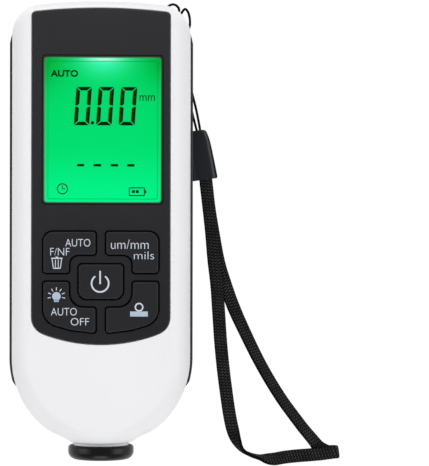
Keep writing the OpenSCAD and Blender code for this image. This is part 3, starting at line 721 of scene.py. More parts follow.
@dataclass(frozen=True)
class LitGlass(Finish):
    """Display lit from its upper edge: an even glow with a hot spot and dimmer upper corners.

    Attributes:
        glow: Colour of the lit field.
        dim: Colour of the corners away from the lamp.
        hot: Colour beside the lamp.
        low: Colour towards the lower edge.
        lamp: Place of the lamp, in metres.
        half: Half of the lit field's width and height, in metres.
        core: Colour right at the lamp.
        unlit: Colour of the glass itself.
        hot_fall: How fast the hot spot falls off across and down, in halves of the field.
        core_fall: How fast its core falls off, likewise.
        corner_fall: How fast the dim corners end downwards.
        foot_fall: How fast the lower edge's colour ends upwards.
        shares: How much of the dim, cloud, hot and core colours is mixed in.
        cloud_size: Size of the clouds in the glow, in metres.
        gloss: Strength of the plain reflection.
        roughness: Roughness of the glass.
    """

    glow: Colour
    dim: Colour
    hot: Colour
    low: Colour
    lamp: Pair
    half: Pair
    core: Colour = (0.55, 1.0, 0.8)
    unlit: Colour = (0.0, 0.02, 0.004)
    hot_fall: Pair = (7.0, 26.0)
    core_fall: Pair = (16.0, 700.0)
    corner_fall: float = 6.0
    foot_fall: float = 3.0
    shares: tuple[float, float, float, float] = (1.1, 0.1, 0.95, 0.8)
    cloud_size: float = 0.012
    gloss: float = 0.04
    roughness: float = 0.35

    def paint(self, shader: Shader) -> None:
        """Glow in four layers, each a bell: dim corners, lower edge, hot spot and its core.

        Args:
            shader: Shader of the material.
        """
        x, y, _ = shader.axes()
        across = (x - self.lamp[0]) / self.half[0]
        down = (self.lamp[1] - y) / self.half[1]
        from_foot = 2.0 - down
        wide, far = across * across, down * down
        near = shader.bell(wide * self.hot_fall[0] + far * self.hot_fall[1])
        core = shader.bell(wide * self.core_fall[0] + far * self.core_fall[1])
        corner = shader.bell(far * self.corner_fall) * wide
        foot = shader.bell(from_foot * from_foot * self.foot_fall)
        cloud = shader.noise(self.cloud_size, detail=1.0) - 0.5
        dim, clouded, hot, middle = self.shares
        lit = shader.mix(corner * dim, self.glow, self.dim)
        lit = shader.mix(foot + cloud * clouded, lit, self.low)
        lit = shader.mix(near * hot, lit, self.hot)
        lit = shader.mix(core * middle, lit, self.core)
        shader.set(
            Base_Color=self.unlit,
            Roughness=self.roughness,
            Emission_Color=lit,
            Emission_Strength=1.0,
            Specular_IOR_Level=self.gloss,
        )


@dataclass(frozen=True)
class Clear(Finish):
    """Clear moulded window: almost nothing but a soft reflection.

    Attributes:
        tint: Colour of what it keeps back.
        cover: How much it keeps back.
        gloss: Strength of the plain reflection.
        roughness: Least roughness, and how much a smear adds.
        smear: Size of the smears in metres.
    """

    tint: Colour
    cover: float = 0.02
    gloss: float = 0.05
    roughness: Pair = (0.08, 0.08)
    smear: float = 0.006

    def paint(self, shader: Shader) -> None:
        """Nearly clear surface whose gloss goes with the smears.

        Args:
            shader: Shader of the material.
        """
        smear = shader.noise(self.smear, detail=3.0)
        least, more = self.roughness
        shader.set(
            Base_Color=self.tint,
            Roughness=least + smear * more,
            Alpha=self.cover,
            Specular_IOR_Level=self.gloss,
        )


@dataclass(frozen=True)
class Woven(Finish):
    """Woven tape or braid on the piece's own UV: rows of yarns, every other row shifted by half a yarn.

    Attributes:
        dark: Colour between the yarns.
        light: Colour on top of the yarns, for wear and a painted highlight.
        rows: Number of rows across the width.
        depth: Relief of the yarns in metres.
        slant: Share of a yarn by which each row leans.
        edge_rise: How fast the tape gets lighter in from its edges.
        flank: Height of a row at its sides, where its ridge is 1.
        wear: Size of the worn places in metres.
        fluff: Size of the fibres in metres.
        worn: How much wear and the painted highlight lighten a yarn, and how much fluff has to do so first.
        relief: Height of the yarns and of the fibres on them, in depths.
        roughness: Middle roughness, and its change with the fibres.
        gloss: Strength of the plain reflection.
    """

    dark: Colour
    light: Colour
    rows: float = 4.0
    depth: float = 0.00025
    slant: float = 0.3
    edge_rise: float = 7.0
    flank: float = 0.35
    wear: float = 0.004
    fluff: float = 0.0003
    worn: Pair = (1.2, 0.25)
    relief: Pair = (0.9, 0.3)
    roughness: Pair = (0.72, 0.3)
    gloss: float = 0.05

    def paint(self, shader: Shader) -> None:
        """Weave in which U runs along the tape in yarn lengths, and V across it from 0 to 1.

        A yarn rises from its ends to its middle, a row from its sides to its ridge, and the tape's
        edges are dark. The yarns' tops are painted lighter, partly as wear and fluff and partly as a
        painted highlight where light would catch them.

        Args:
            shader: Shader of the material.
        """
        along, across, _ = shader.axes(Coords.SURFACE)
        row = across * self.rows
        shift = shader.math("FLOORED_MODULO", shader.math("FLOOR", row), 2.0) * 0.5
        yarn = shader.math("PINGPONG", along + shift + row * self.slant, 0.5) * 2.0
        ridge = shader.math("PINGPONG", row, 0.5) * 2.0
        wear = shader.noise(self.wear, detail=2.0)
        fluff = shader.noise(self.fluff, detail=3.0)
        inward = shader.math("MINIMUM", shader.math("PINGPONG", across, 0.5) * self.edge_rise, 1.0)
        crown = yarn * yarn * (self.flank + ridge * (1 - self.flank)) * inward
        # Lighter yarn tops: partly wear and fluff, partly a painted highlight.
        wear_and_highlight = crown * (wear * self.worn[0] + fluff - self.worn[1])
        shader.set(
            Base_Color=shader.mix(wear_and_highlight, self.dark, self.light),
            Roughness=self.roughness[0] + (fluff - 0.5) * self.roughness[1],
            Specular_IOR_Level=self.gloss,
        )
        shader.bump(crown * self.relief[0] + fluff * self.relief[1], self.depth)


@dataclass(frozen=True)
class Edged(Finish):
    """Moulded plastic or rubber on the piece's own UV, with a painted highlight beside each edge and painted
    shade on the edge itself.

    Attributes:
        face: Colour of the face.
        ridge: Colour of the painted highlight along the ridges.
        edge: Colour of the painted shade on the edges.
        roughness: Middle roughness.
        gloss: Strength of the plain reflection.
        highlight_at: Place of the painted highlight's middle, from 0 at the middle of the piece to 1 at its
            edge.
        highlight_w: Width of the painted highlight's bell on the same scale.
        highlight_share: How much of the painted highlight shows, and how much the texture adds.
        shade_at: Where the painted shade on the edge starts.
        edge_rise: How fast it gets dark from there.
        grain: Size of the texture in metres.
        depth: Depth of the texture in metres.
        grain_matt: Change of roughness with the texture.
    """

    face: Colour
    ridge: Colour
    edge: Colour
    roughness: float = 0.45
    gloss: float = 0.03
    highlight_at: float = 0.74
    highlight_w: float = 0.1
    highlight_share: Pair = (0.5, 0.6)
    shade_at: float = 0.8
    edge_rise: float = 10.0
    grain: float = 0.0005
    depth: float = 0.00001
    grain_matt: float = 0.12

    def paint(self, shader: Shader) -> None:
        """Colours across V, which runs from 0 to 1: the painted highlight is a bell beside each end of it,
        and painted shade darkens the ends.

        Args:
            shader: Shader of the material.
        """
        _, across, _ = shader.axes(Coords.SURFACE)
        fine = shader.noise(self.grain, detail=2.0)
        outward = abs(across * 2.0 - 1.0)
        beside = (outward - self.highlight_at) / self.highlight_w
        # Painted highlight: a bell beside each edge.
        ridge = shader.bell(beside * beside) * (self.highlight_share[0] + fine * self.highlight_share[1])
        face = shader.mix(ridge, self.face, self.ridge)
        # Base colour takes painted shade towards each edge.
        shader.set(
            Base_Color=shader.mix((outward - self.shade_at) * self.edge_rise, face, self.edge),
            Roughness=self.roughness + (fine - 0.5) * self.grain_matt,
            Specular_IOR_Level=self.gloss,
        )
        shader.bump(fine, self.depth)


@dataclass(frozen=True)
class Ink(Finish):
    """Flat mark of one colour with slightly uneven cover: printed or driven marks, and the painted highlight
    along the window's edge.

    Attributes:
        colour: Colour of the mark.
        roughness: Middle roughness.
        gloss: Strength of the plain reflection.
        patch: Size of the uneven patches in metres.
        thin: Share of the colour where the cover is thin.
        depth: Depth of the patches in metres.
        patch_matt: Change of roughness with the cover.
    """

    colour: Colour
    roughness: float = 0.5
    gloss: float = 0.5
    patch: float = 0.0006
    thin: float = 0.88
    depth: float = 0.000003
    patch_matt: float = 0.15

    def paint(self, shader: Shader) -> None:
        """Colour and gloss that go with the cover.

        Args:
            shader: Shader of the material.
        """
        cover = shader.noise(self.patch, detail=3.0)
        shader.set(
            Base_Color=shader.mix(cover, tuple(c * self.thin for c in self.colour), self.colour),
            Roughness=self.roughness + (cover - 0.5) * self.patch_matt,
            Specular_IOR_Level=self.gloss,
        )
        shader.bump(cover, self.depth)


@dataclass(frozen=True)
class Jacket(Finish):
    """Printed cell jacket in two colours.

    Attributes:
        body: Colour of the longer part.
        band: Colour of the other part.
        split_y: Place of the change along the case, in metres.
        shine: How metallic the print looks.
        roughness: Middle roughness.
        grain: Size of the uneven gloss in metres.
        grain_matt: Change of roughness with it.
    """

    body: Colour
    band: Colour
    split_y: float
    shine: float = 0.35
    roughness: float = 0.3
    grain: float = 0.0008
    grain_matt: float = 0.1

    def paint(self, shader: Shader) -> None:
        """Two colours that change at one place along the case.

        Args:
            shader: Shader of the material.
        """
        _, y, _ = shader.axes()
        fine = shader.noise(self.grain, detail=3.0)
        shader.set(
            Base_Color=shader.mix(shader.math("GREATER_THAN", y, self.split_y), self.body, self.band),
            Metallic=self.shine,
            Roughness=self.roughness + (fine - 0.5) * self.grain_matt,
        )


class Finishes:
    """The finish of each of the record's material slots, and of the marks."""

    white = Moulded("white_plastic", (0.87, 0.87, 0.885), 0.48, 0.0004, 0.000004, 0.01, 0.25)
    black = Moulded("black_plastic", (0.010, 0.010, 0.011), 0.5, 0.0005, 0.00002, 0.05)
    grip = Moulded("grip_rubber", (0.008, 0.008, 0.009), 0.62, 0.0006, 0.00003, 0.05, 0.3)
    # The panel's fade is a painted sheen, lighter towards the top of the case.
    panel = Moulded("panel_plastic", (0.017, 0.017, 0.0198), 0.42, 0.0003, 0.000006, 0.03, 0.25, painted_sheen=0.45)
    # Key caps: a painted highlight inside each top edge and painted shade on the edge.
    key = Edged(
        "key_plastic",
        face=(0.0145, 0.0145, 0.0168),
        ridge=(0.022, 0.022, 0.0245),
        edge=(0.0008, 0.0008, 0.0008),
        roughness=0.46,
        gloss=0.25,
    )
    collar = Moulded("collar_plastic", (0.006, 0.006, 0.0062), 0.3, 0.0004, 0.000004, 0.05, 0.18)
    # Sleeve: a painted highlight along a ridge near each side and painted shade on the sides.
    sleeve = Edged("sleeve_rubber", (0.0225, 0.0245, 0.0285), (0.078, 0.08, 0.085), (0.0, 0.0, 0.0))
    mat = Moulded("mat_rubber", (0.1, 0.1, 0.11), 0.6)
    guide = Moulded("light_guide", (0.75, 0.85, 0.78), 0.4)
    board = Moulded("board", (0.01, 0.15, 0.05), 0.4)
    chip = Moulded("chip", (0.02, 0.02, 0.02), 0.5)
    steel = Metal("steel", (0.6, 0.6, 0.62))
    turned = Metal("probe_metal", (0.7, 0.7, 0.7), 0.35)
    copper = Metal("copper", (0.6, 0.25, 0.1), 0.35)
    ferrite = Moulded("ferrite", (0.05, 0.05, 0.055), 0.55)
    lens = Clear("clear_lens", (0.0, 0.2, 0.06))
    cell = Jacket("cell_jacket", (0.015, 0.015, 0.016), (0.62, 0.36, 0.07), 0.018)
    display = LitGlass(
        "display_glass",
        glow=(0.0, 0.715, 0.152),
        dim=(0.0, 0.43, 0.035),
        hot=(0.05, 0.99, 0.5),
        low=(0.0, 0.91, 0.255),
        lamp=(0.0007, 0.0449),
        half=(0.0151, 0.0188),
    )
    # Strap weaves: their lighter yarn tops are partly wear and partly a painted highlight.
    string = Woven("strap_string", (0.002, 0.002, 0.002), (0.01, 0.01, 0.01), 6.0, 0.00008)
    webbing = Woven("strap_webbing", (0.002, 0.002, 0.002), (0.095, 0.092, 0.09), 4.0, 0.0003)
    mark = Ink("key_marks", (0.68, 0.74, 0.82))
    tint = Ink("key_tint", (0.46, 0.58, 0.69))
    segment = Ink("display_marks", (0.0, 0.014, 0.001), 0.6, 0.0)
    rim = Ink("window_rim", (0.004, 0.003, 0.003), 0.5, 0.1)
    # Painted highlight along the lens's edge inside the window.
    glint = Ink("window_edge_glint", (0.1, 0.5, 0.2), 0.4, 0.3)
    line = Ink("display_line", (0.0, 0.6, 0.12), 0.6, 0.0)

    _made: dict[str, bpy.types.Material] = {}

    @classmethod
    def get(cls, finish: Finish) -> bpy.types.Material:
        """Material of a finish, built once.

        Args:
            finish: The finish.

        Returns:
            Its material.
        """
        if finish.name not in cls._made:
            cls._made[finish.name] = finish.material()
        return cls._made[finish.name]

    @classmethod
    def for_slot(cls, slot: str) -> bpy.types.Material:
        """Material of one of the record's slots."""
        found = {f.name: f for f in vars(cls).values() if isinstance(f, Finish)}
        return cls.get(found[slot])


def dress(
    piece: bpy.types.Object,
    finish: Finish,
    body: Optional[str] = CASE_BODY,
    nodes: Sequence[str] = (),
) -> bpy.types.Object:
    """Gives a piece its finish and hangs it on its CAD body.

    Args:
        piece: The new piece.
        finish: Its finish.
        body: CAD body that it moves with, or None to leave it on no body.
        nodes: CAD nodes that it stands for.

    Returns:
        The piece.
    """
    piece.data.materials.clear()
    piece.data.materials.append(Finishes.get(finish))
    if body:
        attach(piece, body)
    if nodes:
        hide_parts(*nodes)
    LOG.info("%s: %d faces on %s", piece.name, len(piece.data.polygons), body)
    return piece


# The case


@dataclass
class Case:
    """Moulded two-part case, lofted through the same outline as the CAD shells.

    Lengths are in mm, and heights are above the surface that the gauge lies on. The hinge and the latch
    are placed from the door's upper and lower edge.
    """

    half_w: float = 23.4
    y_top: float = 60.25
    body_h: float = 26.0
    part_z: float = 13.0
    wall: float = 2.0
    shoulder: float = 5.1
    top_shoulder: float = 2.4
    back_round: float = 4.5
    back_round_h: float = 10.0
    corner_r: float = 8.0
    least_corner_r: float = 1.2
    top_arc_r: float = 150.0
    face_y: float = -59.65
    neck_y: float = -54.85
    neck_depth: float = 8.0
    end_y: float = -33.15
    end_flare: float = 0.5
    flare_x: float = 10.6
    flare_w: float = 2.5
    end_lift: float = 2.2
    inner_tighter: float = 1.5
    floor_z: float = 23.2
    tube_r: float = 6.2
    collar_len: float = 3.8
    lip_r: float = 7.2
    lip_len: float = 1.0
    lip_fillet: float = 0.8
    lip_lap: float = 1.0
    lip_back: float = 0.6
    screws: tuple[Pair, ...] = ((14.5, 50.6), (-14.5, 50.6), (17.0, -38.0), (-17.0, -38.0))
    column_r: float = 2.8
    column_low: float = 1.2
    well_r: float = 2.3
    well_top: float = 6.0
    hole_r: float = 1.35
    hole_z: Pair = (1.0, 14.0)
    door_x: float = 13.5
    door_y: Pair = (-22.45, 38.65)
    door_frame: float = 1.5
    door_frame_z: Pair = (1.0, 3.2)
    hinge_x: Pair = (5.0, 11.0)
    hinge_y: Pair = (-3.8, 2.5)
    hinge_h: float = 3.8
    latch_x: float = 5.0
    latch_y: float = 3.6
    latch_h: float = 4.0
    notch_x: float = 4.5
    notch_y: float = -1.0
    notch_z: float = -3.2
    notch_r: float = 4.0
    bay_x: float = 10.95
    bay_y: Pair = (-17.65, 33.65)
    bay_z: float = 13.0
    bay_wall: float = 1.2
    bay_block_z: Pair = (1.1, 14.2)
    tunnel_in: Triple = (20.4, 57.35, 7.0)
    tunnel_out: Triple = (20.5, 49.05, 0.9)
    tunnel_r: float = 1.0
    tunnel_past: float = 3.0
    grip_play: float = 0.05
    reach: float = 70.0
    rings: int = 22
    end_steps: int = 96
    corner_steps: int = 16
    top_steps: int = 24
    side_steps: int = 11

    def outline(self, inset: float, top_inset: float, lift: float = 0.0) -> Array:
        """Plan outline of the case: a half circle, two straight sides, rounded corners, a bowed top.

        Beside the neck the half circle is drawn in by a bell-shaped share of the flare.

        Args:
            inset: Distance in from the sides and the round end.
            top_inset: Distance in from the top.
            lift: How far the round end is moved up.

        Returns:
            Array of plan points, anticlockwise.
        """
        w = self.half_w - inset
        r = max(self.corner_r - inset, self.least_corner_r)
        arc_y = self.y_top - top_inset - self.top_arc_r
        cx = w - r
        cy = arc_y + math.sqrt((self.top_arc_r - r) ** 2 - cx * cx)
        turn = math.degrees(math.atan2(cy - arc_y, cx))
        low_y = self.end_y + lift
        rise = np.linspace(low_y, cy, self.side_steps + 1)[1:-1]
        right = np.column_stack([np.full(len(rise), w), rise])
        end = arc((0, low_y), w, 180, 360, self.end_steps)
        from_flare = (np.abs(end[:, 0]) - self.flare_x) / self.flare_w
        end[:, 1] += self.end_flare * np.exp(-(from_flare**2))
        return np.vstack(
            [
                end,
                right,
                arc((cx, cy), r, 0, turn, self.corner_steps),
                arc((0, arc_y), self.top_arc_r, turn, 180 - turn, self.top_steps)[1:-1],
                arc((-cx, cy), r, 180 - turn, 180, self.corner_steps),
                (right * (-1, 1))[::-1],
            ]
        )

    def front_rings(self, inset: float, side: float, lift: float, top: float, steps: int) -> list[Array]:
        """Rings of the front half from the joint up: the shoulder is a quarter ellipse.

        Args:
            inset: Distance in from the outer surface.
            side: Width of the shoulder at the sides and the round end.
            lift: How far the round end is moved up.
            top: Height of the last ring.
            steps: Number of steps over the shoulder.

        Returns:
            List of rings.
        """
        made = []
        for a in quarter(steps):
            share = 1 - math.cos(a)
            plan = self.outline(inset + side * share, inset + self.top_shoulder * share, lift)
            made.append(at_z(plan, self.part_z + (top - self.part_z) * math.sin(a)))
        return made

    def front_hollow(self) -> list[Array]:
        """Inner rings of the front half, a wall's thickness in, from below the joint.

        Returns:
            Rings from the lowest up.
        """
        foot = at_z(self.outline(self.wall, self.wall, self.end_lift), self.part_z - CLEAR)
        side = self.shoulder - self.inner_tighter
        return [foot] + self.front_rings(self.wall, side, self.end_lift, self.floor_z, self.rings // 2)

    def rear_rings(self, inset: float, floor: float, lift: float, top: float) -> list[Array]:
        """Rings of the rear half from its back up: the back edge is a quarter ellipse.

        Args:
            inset: Distance in from the outer surface.
            floor: Height of the back.
            lift: How far the round end is moved up.
            top: Height of the last ring.

        Returns:
            List of rings.
        """
        rise = self.back_round_h - floor
        made = []
        for a in quarter(self.rings)[::-1]:
            s = inset + self.back_round * (1 - math.cos(a))
            made.append(at_z(self.outline(s, s, lift), floor + rise * (1 - math.sin(a))))
        made.append(at_z(self.outline(inset, inset, lift), top))
        return made

    def beyond_neck(self) -> Solid:
        """Block that cuts the round end off flat where the probe's collar sits."""
        both = (-self.reach, self.reach)
        return box(both, (self.neck_y - self.reach, self.neck_y), both)

    def past_joint(self, side: float) -> Solid:
        """Block that fills the space above the joint between the shells (1), or below it (-1)."""
        both = (-self.reach, self.reach)
        return box(both, both, sorted((self.part_z, self.part_z + side * self.reach)))

    def lip(self) -> Solid:
        """Turned lip with a hollow fillet, from the collar to the flat of the neck.

        Returns:
            Solid to add to a shell.
        """
        r, wide = self.lip_fillet, self.lip_r + self.lip_fillet
        fillet = arc((wide, self.lip_len - r), r, 180, 90, steps=10)
        inner, back = self.tube_r - self.lip_lap, self.lip_len + self.lip_back
        ends = [[wide, back], [inner, back], [inner, 0]]
        profile = np.vstack([[[inner, 0], [self.lip_r, 0]], fillet[1:], ends])
        profile[:, 1] += self.collar_len
        return Solid().grid(lathe(profile))

    def bore(self) -> Solid:
        """Round hole through the neck for the probe."""
        start, end = (0, self.face_y, self.part_z), (0, self.neck_y + self.neck_depth, self.part_z)
        return rod(start, end, self.tube_r)

    def tunnel(self) -> Solid:
        """Straight round hole through the corner for the string.

        Returns:
            Solid to cut away.
        """
        a, b = np.array(self.tunnel_in), np.array(self.tunnel_out)
        past = self.tunnel_past * unit(b - a)
        return rod(a - past, b + past, self.tunnel_r, sides=32)

    def screw_rods(self, low: float, high: float, radius: float) -> list[Solid]:
        """Upright bars at the four screws, between two heights."""
        return [rod((x, y, low), (x, y, high), radius) for x, y in self.screws]

    def door_cuts(self) -> list[Solid]:
        """Opening for the door, with the pockets for its two hinge arms and its latch.

        Returns:
            Solids to cut away.
        """
        low, high = self.door_y
        start = self.wall - SKIN
        hinge_y = (high + self.hinge_y[0], high + self.hinge_y[1])
        hinges = [
            box(sorted(x * side.value for x in self.hinge_x), hinge_y, (start, self.wall + self.hinge_h))
            for side in (Side.RIGHT, Side.LEFT)
        ]
        latch_z = (start, self.wall + self.latch_h)
        return [
            box((-self.door_x, self.door_x), self.door_y, (-CLEAR, self.wall)),
            *hinges,
            box((-self.latch_x, self.latch_x), (low, low + self.latch_y), latch_z),
        ]

    def build(self, panel: "Panel", keys: "Keypad") -> None:
        """Builds both shells."""
        self.build_front(panel, keys)
        self.build_rear()

    def build_front(self, panel: "Panel", keys: "Keypad") -> None:
        """Front shell: hollow loft with the panel's recess, the window and the key openings.

        Args:
            panel: Panel that lies in it.
            keys: Keys that come through it.
        """
        outer = self.front_rings(0.0, self.shoulder, 0.0, self.body_h, self.rings)
        shell = Solid().loft(outer).piece("front_housing")
        hollow = Solid().loft(self.front_hollow())
        keyholes = [prism(ring, self.floor_z - CLEAR, self.body_h) for ring in keys.outlines(keys.gap)]
        openings = [panel.recess(), panel.lens_hole(), *keyholes, self.bore()]
        steps = [
            *Cut.AWAY.all(self.beyond_neck()),
            *Cut.ONTO.all(self.lip()),
            *Cut.AWAY.all(self.past_joint(-1), hollow, *openings),
        ]
        combine(shell, steps)
        dress(soften(shell), Finishes.white, nodes=["front_shell"])

    def build_rear(self) -> None:
        """Rear shell: hollow loft with the battery bay, door opening, screw wells and tunnel."""
        shell = Solid().loft(self.rear_rings(0, 0, 0, self.part_z)).piece("rear_housing")
        inner = self.rear_rings(self.wall, self.wall, self.end_lift, self.part_z + CLEAR)
        (low, high), (bay_low, bay_high) = self.door_y, self.bay_y
        frame_x, bay_out = self.door_x + self.door_frame, self.bay_x + self.bay_wall
        frame_y = (low - self.door_frame, high + self.door_frame)
        block_y = (bay_low - self.bay_wall, bay_high + self.bay_wall)
        notch_y = low + self.notch_y
        notch = [(x, notch_y, self.notch_z) for x in (-self.notch_x, self.notch_x)]
        steps = [
            *Cut.AWAY.all(self.beyond_neck()),
            *Cut.ONTO.all(self.lip()),
            *Cut.AWAY.all(self.past_joint(1), Solid().loft(inner)),
            *Cut.ONTO.all(
                box((-frame_x, frame_x), frame_y, self.door_frame_z),
                box((-bay_out, bay_out), block_y, self.bay_block_z),
                *self.screw_rods(self.column_low, self.part_z, self.column_r),
            ),
            *Cut.AWAY.all(
                box((-self.bay_x, self.bay_x), self.bay_y, (-CLEAR, self.bay_z)),
                *self.door_cuts(),
                self.bore(),
                *self.screw_rods(-CLEAR, self.well_top, self.well_r),
                *self.screw_rods(*self.hole_z, self.hole_r),
                self.tunnel(),
                rod(*notch, self.notch_r),
                *[Solid().loft(Grip(side).rings(self.grip_play)) for side in Side],
            ),
        ]
        combine(shell, steps)
        dress(soften(shell), Finishes.black, nodes=["rear_shell"])


class Side(Enum):
    """Side of the case, as the sign of X."""

    LEFT = -1
    RIGHT = 1


@dataclass
class Grip:
    """Rubber strip let into one side of the rear shell, with sloped outer edges."""

    side: Side
    proud: float = 0.75
    low: float = 5.2
    high: float = 12.3
    top_y: float = 52.5
    top_taper: float = 2.5
    low_taper: float = 2.0
    wrap: float = 20.0
    depth: float = 1.0
    slope: float = 0.8
    edge_h: float = 1.0
    edge_angles: Triple = (-90.0, -55.0, -20.0)
    straight_steps: int = 59
    wrap_steps: int = 15

    def profile(self, proud: Array, grow: float) -> Array:
        """Cross-section at each station as [distance out, height], with its outer edges sloped.

        Args:
            proud: How far the strip stands out at each station.
            grow: Distance by which the section is enlarged.

        Returns:
            Array of shape (stations, 8, 2).
        """
        p = proud[:, None]
        one = np.ones_like(p)
        turn = np.radians(self.edge_angles)[None, :]
        inner = one * (-self.depth - grow)
        edge_x = p - self.slope + self.slope * np.cos(turn) + grow
        edge_z = (self.edge_h + grow) * np.sin(turn) * one
        low_z, high_z = self.low + self.edge_h + edge_z, self.high - self.edge_h - edge_z[:, ::-1]
        x = np.concatenate([inner, edge_x, edge_x[:, ::-1], inner], axis=1)
        z = np.concatenate([one * (self.low - grow), low_z, high_z, one * (self.high + grow)], axis=1)
        return np.stack([x, z], axis=2)

    def rings(self, grow: float) -> list[Array]:
        """Sections down the straight side and a little way round the end, easing in at both ends.

        Args:
            grow: Distance by which the sections are enlarged.

        Returns:
            List of rings.
        """
        half_w, end_y = Case.half_w, Case.end_y
        straight = np.linspace(self.top_y, end_y, self.straight_steps + 1)[:-1]
        angle = np.radians(np.linspace(0, -self.wrap, self.wrap_steps + 1))
        x = np.concatenate([np.full(len(straight), half_w), half_w * np.cos(angle)])
        y = np.concatenate([straight, end_y + half_w * np.sin(angle)])
        out = np.concatenate([np.zeros(len(straight)), angle])[:, None]
        run = distances(np.column_stack([x, y]))
        ease = np.minimum(run / self.top_taper, (run[-1] - run) / self.low_taper).clip(0, 1)
        across, up = np.moveaxis(self.profile(self.proud * ease, grow), 2, 0)
        plan_x = (x[:, None] + across * np.cos(out)) * self.side.value
        plan_y = y[:, None] + across * np.sin(out)
        return list(np.stack([plan_x, plan_y, up], axis=2))

    def build(self) -> None:
        """Builds the strip."""
        name = f"{self.side.name.lower()}_grip"
        piece = Solid().loft(self.rings(0.0)).piece(f"{name}_rubber")
        dress(soften(piece, angle=40), Finishes.grip, nodes=[name])


# The front


@dataclass
class Panel:
    """Dark inlay on the front, with its window and the hole for the lens below it.

    An eased edge is given by its width, and by how far out and down its middle is.
    """

    width: float = 35.5
    top_y: float = 57.55
    top_r: float = 150.0
    top_corner_r: float = 1.2
    low_y: float = -29.0
    low_r: float = 42.0
    corner_r: float = 4.6
    bow_r: float = 0.2
    bow_steps: int = 24
    z0: float = 24.7
    z1: float = 25.9
    gap: float = 0.2
    edge: float = 0.18
    edge_steps: int = 5
    recess_edge: Triple = (0.25, 0.07, 0.08)
    win: Pair = (30.2, 37.5)
    win_at: Pair = (0.4, 26.3)
    win_r: float = 0.8
    win_edge: Triple = (0.3, 0.08, 0.1)
    lens_lap: float = 1.1
    lens_play: float = 0.15
    lens_r: float = 0.05
    lens_cut: float = 0.5

    def outline(self, grow: float) -> Array:
        """Plan outline: bowed top and bottom edges, straight sides.

        Args:
            grow: Distance by which it is enlarged.

        Returns:
            Array of plan points, anticlockwise.
        """
        w, count = self.width / 2 + grow, self.bow_steps + 1
        x = np.linspace(-w, w, count)
        r = self.low_r + grow
        low = self.low_y - grow + r - np.sqrt(r * r - x * x)
        top = self.top_y + grow - self.top_r + np.sqrt(self.top_r**2 - x * x)
        low_round, top_round = np.full((2, count), self.bow_r)
        low_round[[0, -1]] = self.corner_r
        top_round[[0, -1]] = self.top_corner_r
        clear_of_corner = np.ones(count, dtype=bool)
        clear_of_corner[[1, 2, -3, -2]] = False
        lower = np.column_stack([x, low, low_round])[clear_of_corner]
        upper = np.column_stack([x, top, top_round])[::-1]
        return rounded(np.vstack([lower, upper]), steps=6)

    def window(self, grow: float, radius: float = win_r) -> Array:
        """Plan outline of the window, enlarged by a distance.

        Args:
            grow: Distance in mm that it is enlarged by.
            radius: Radius of its corners.

        Returns:
            Ring of points [x, y].
        """
        x, y = self.win[0] / 2 + grow, self.win[1] / 2 + grow
        ring = rounded([[x, y, radius], [-x, y, radius], [-x, -y, radius], [x, -y, radius]])
        return ring + self.win_at

    @staticmethod
    def eased(outline: Callable[[float], Array], floor: float, top: float, edge: Triple) -> Solid:
        """Cutter for an opening whose upper edge is eased outwards.

        Args:
            outline: Gives the opening's outline, enlarged by a distance.
            floor: Height that it starts from.
            top: Height of the surface that it opens.
            edge: Width of the eased edge, and its middle point's distance out and down.

        Returns:
            The cutter.
        """
        wide, out, down = edge
        steps = [(0.0, floor), (0.0, top - wide), (out, top - down), (wide, top + SKIN), (wide, top + CLEAR)]
        return Solid().loft([at_z(outline(grow), z) for grow, z in steps])

    def recess(self) -> Solid:
        """Pocket in the shell that takes the panel."""
        return self.eased(lambda g: self.outline(self.gap + g), self.z0, Case.body_h, self.recess_edge)

    def lens_hole(self) -> Solid:
        """Opening below the window that the lens sits in."""
        ring = self.window(self.lens_lap + self.lens_play, self.lens_r)
        return prism(ring, Case.floor_z - CLEAR, self.z0 + self.lens_cut)

    def build(self, keys: "Keypad") -> None:
        """Builds the inlay, rounded at its upper edge, with its window and key openings.

        Args:
            keys: Keys that come through it.
        """
        rings = [at_z(self.outline(0), self.z0)]
        for a in quarter(self.edge_steps):
            inset, drop = self.edge * (1 - math.cos(a)), self.edge * (1 - math.sin(a))
            rings.append(at_z(self.outline(-inset), self.z1 - drop))
        inlay = Solid().loft(rings).piece("front_inlay")
        opening = self.eased(self.window, self.z0 - CLEAR, self.z1, self.win_edge)
        keyholes = [prism(ring, self.z0 - CLEAR, self.z1 + CLEAR) for ring in keys.outlines(keys.gap)]
        combine(inlay, Cut.AWAY.all(opening, *keyholes))
        dress(soften(inlay, angle=35), Finishes.panel, nodes=["front_panel"])


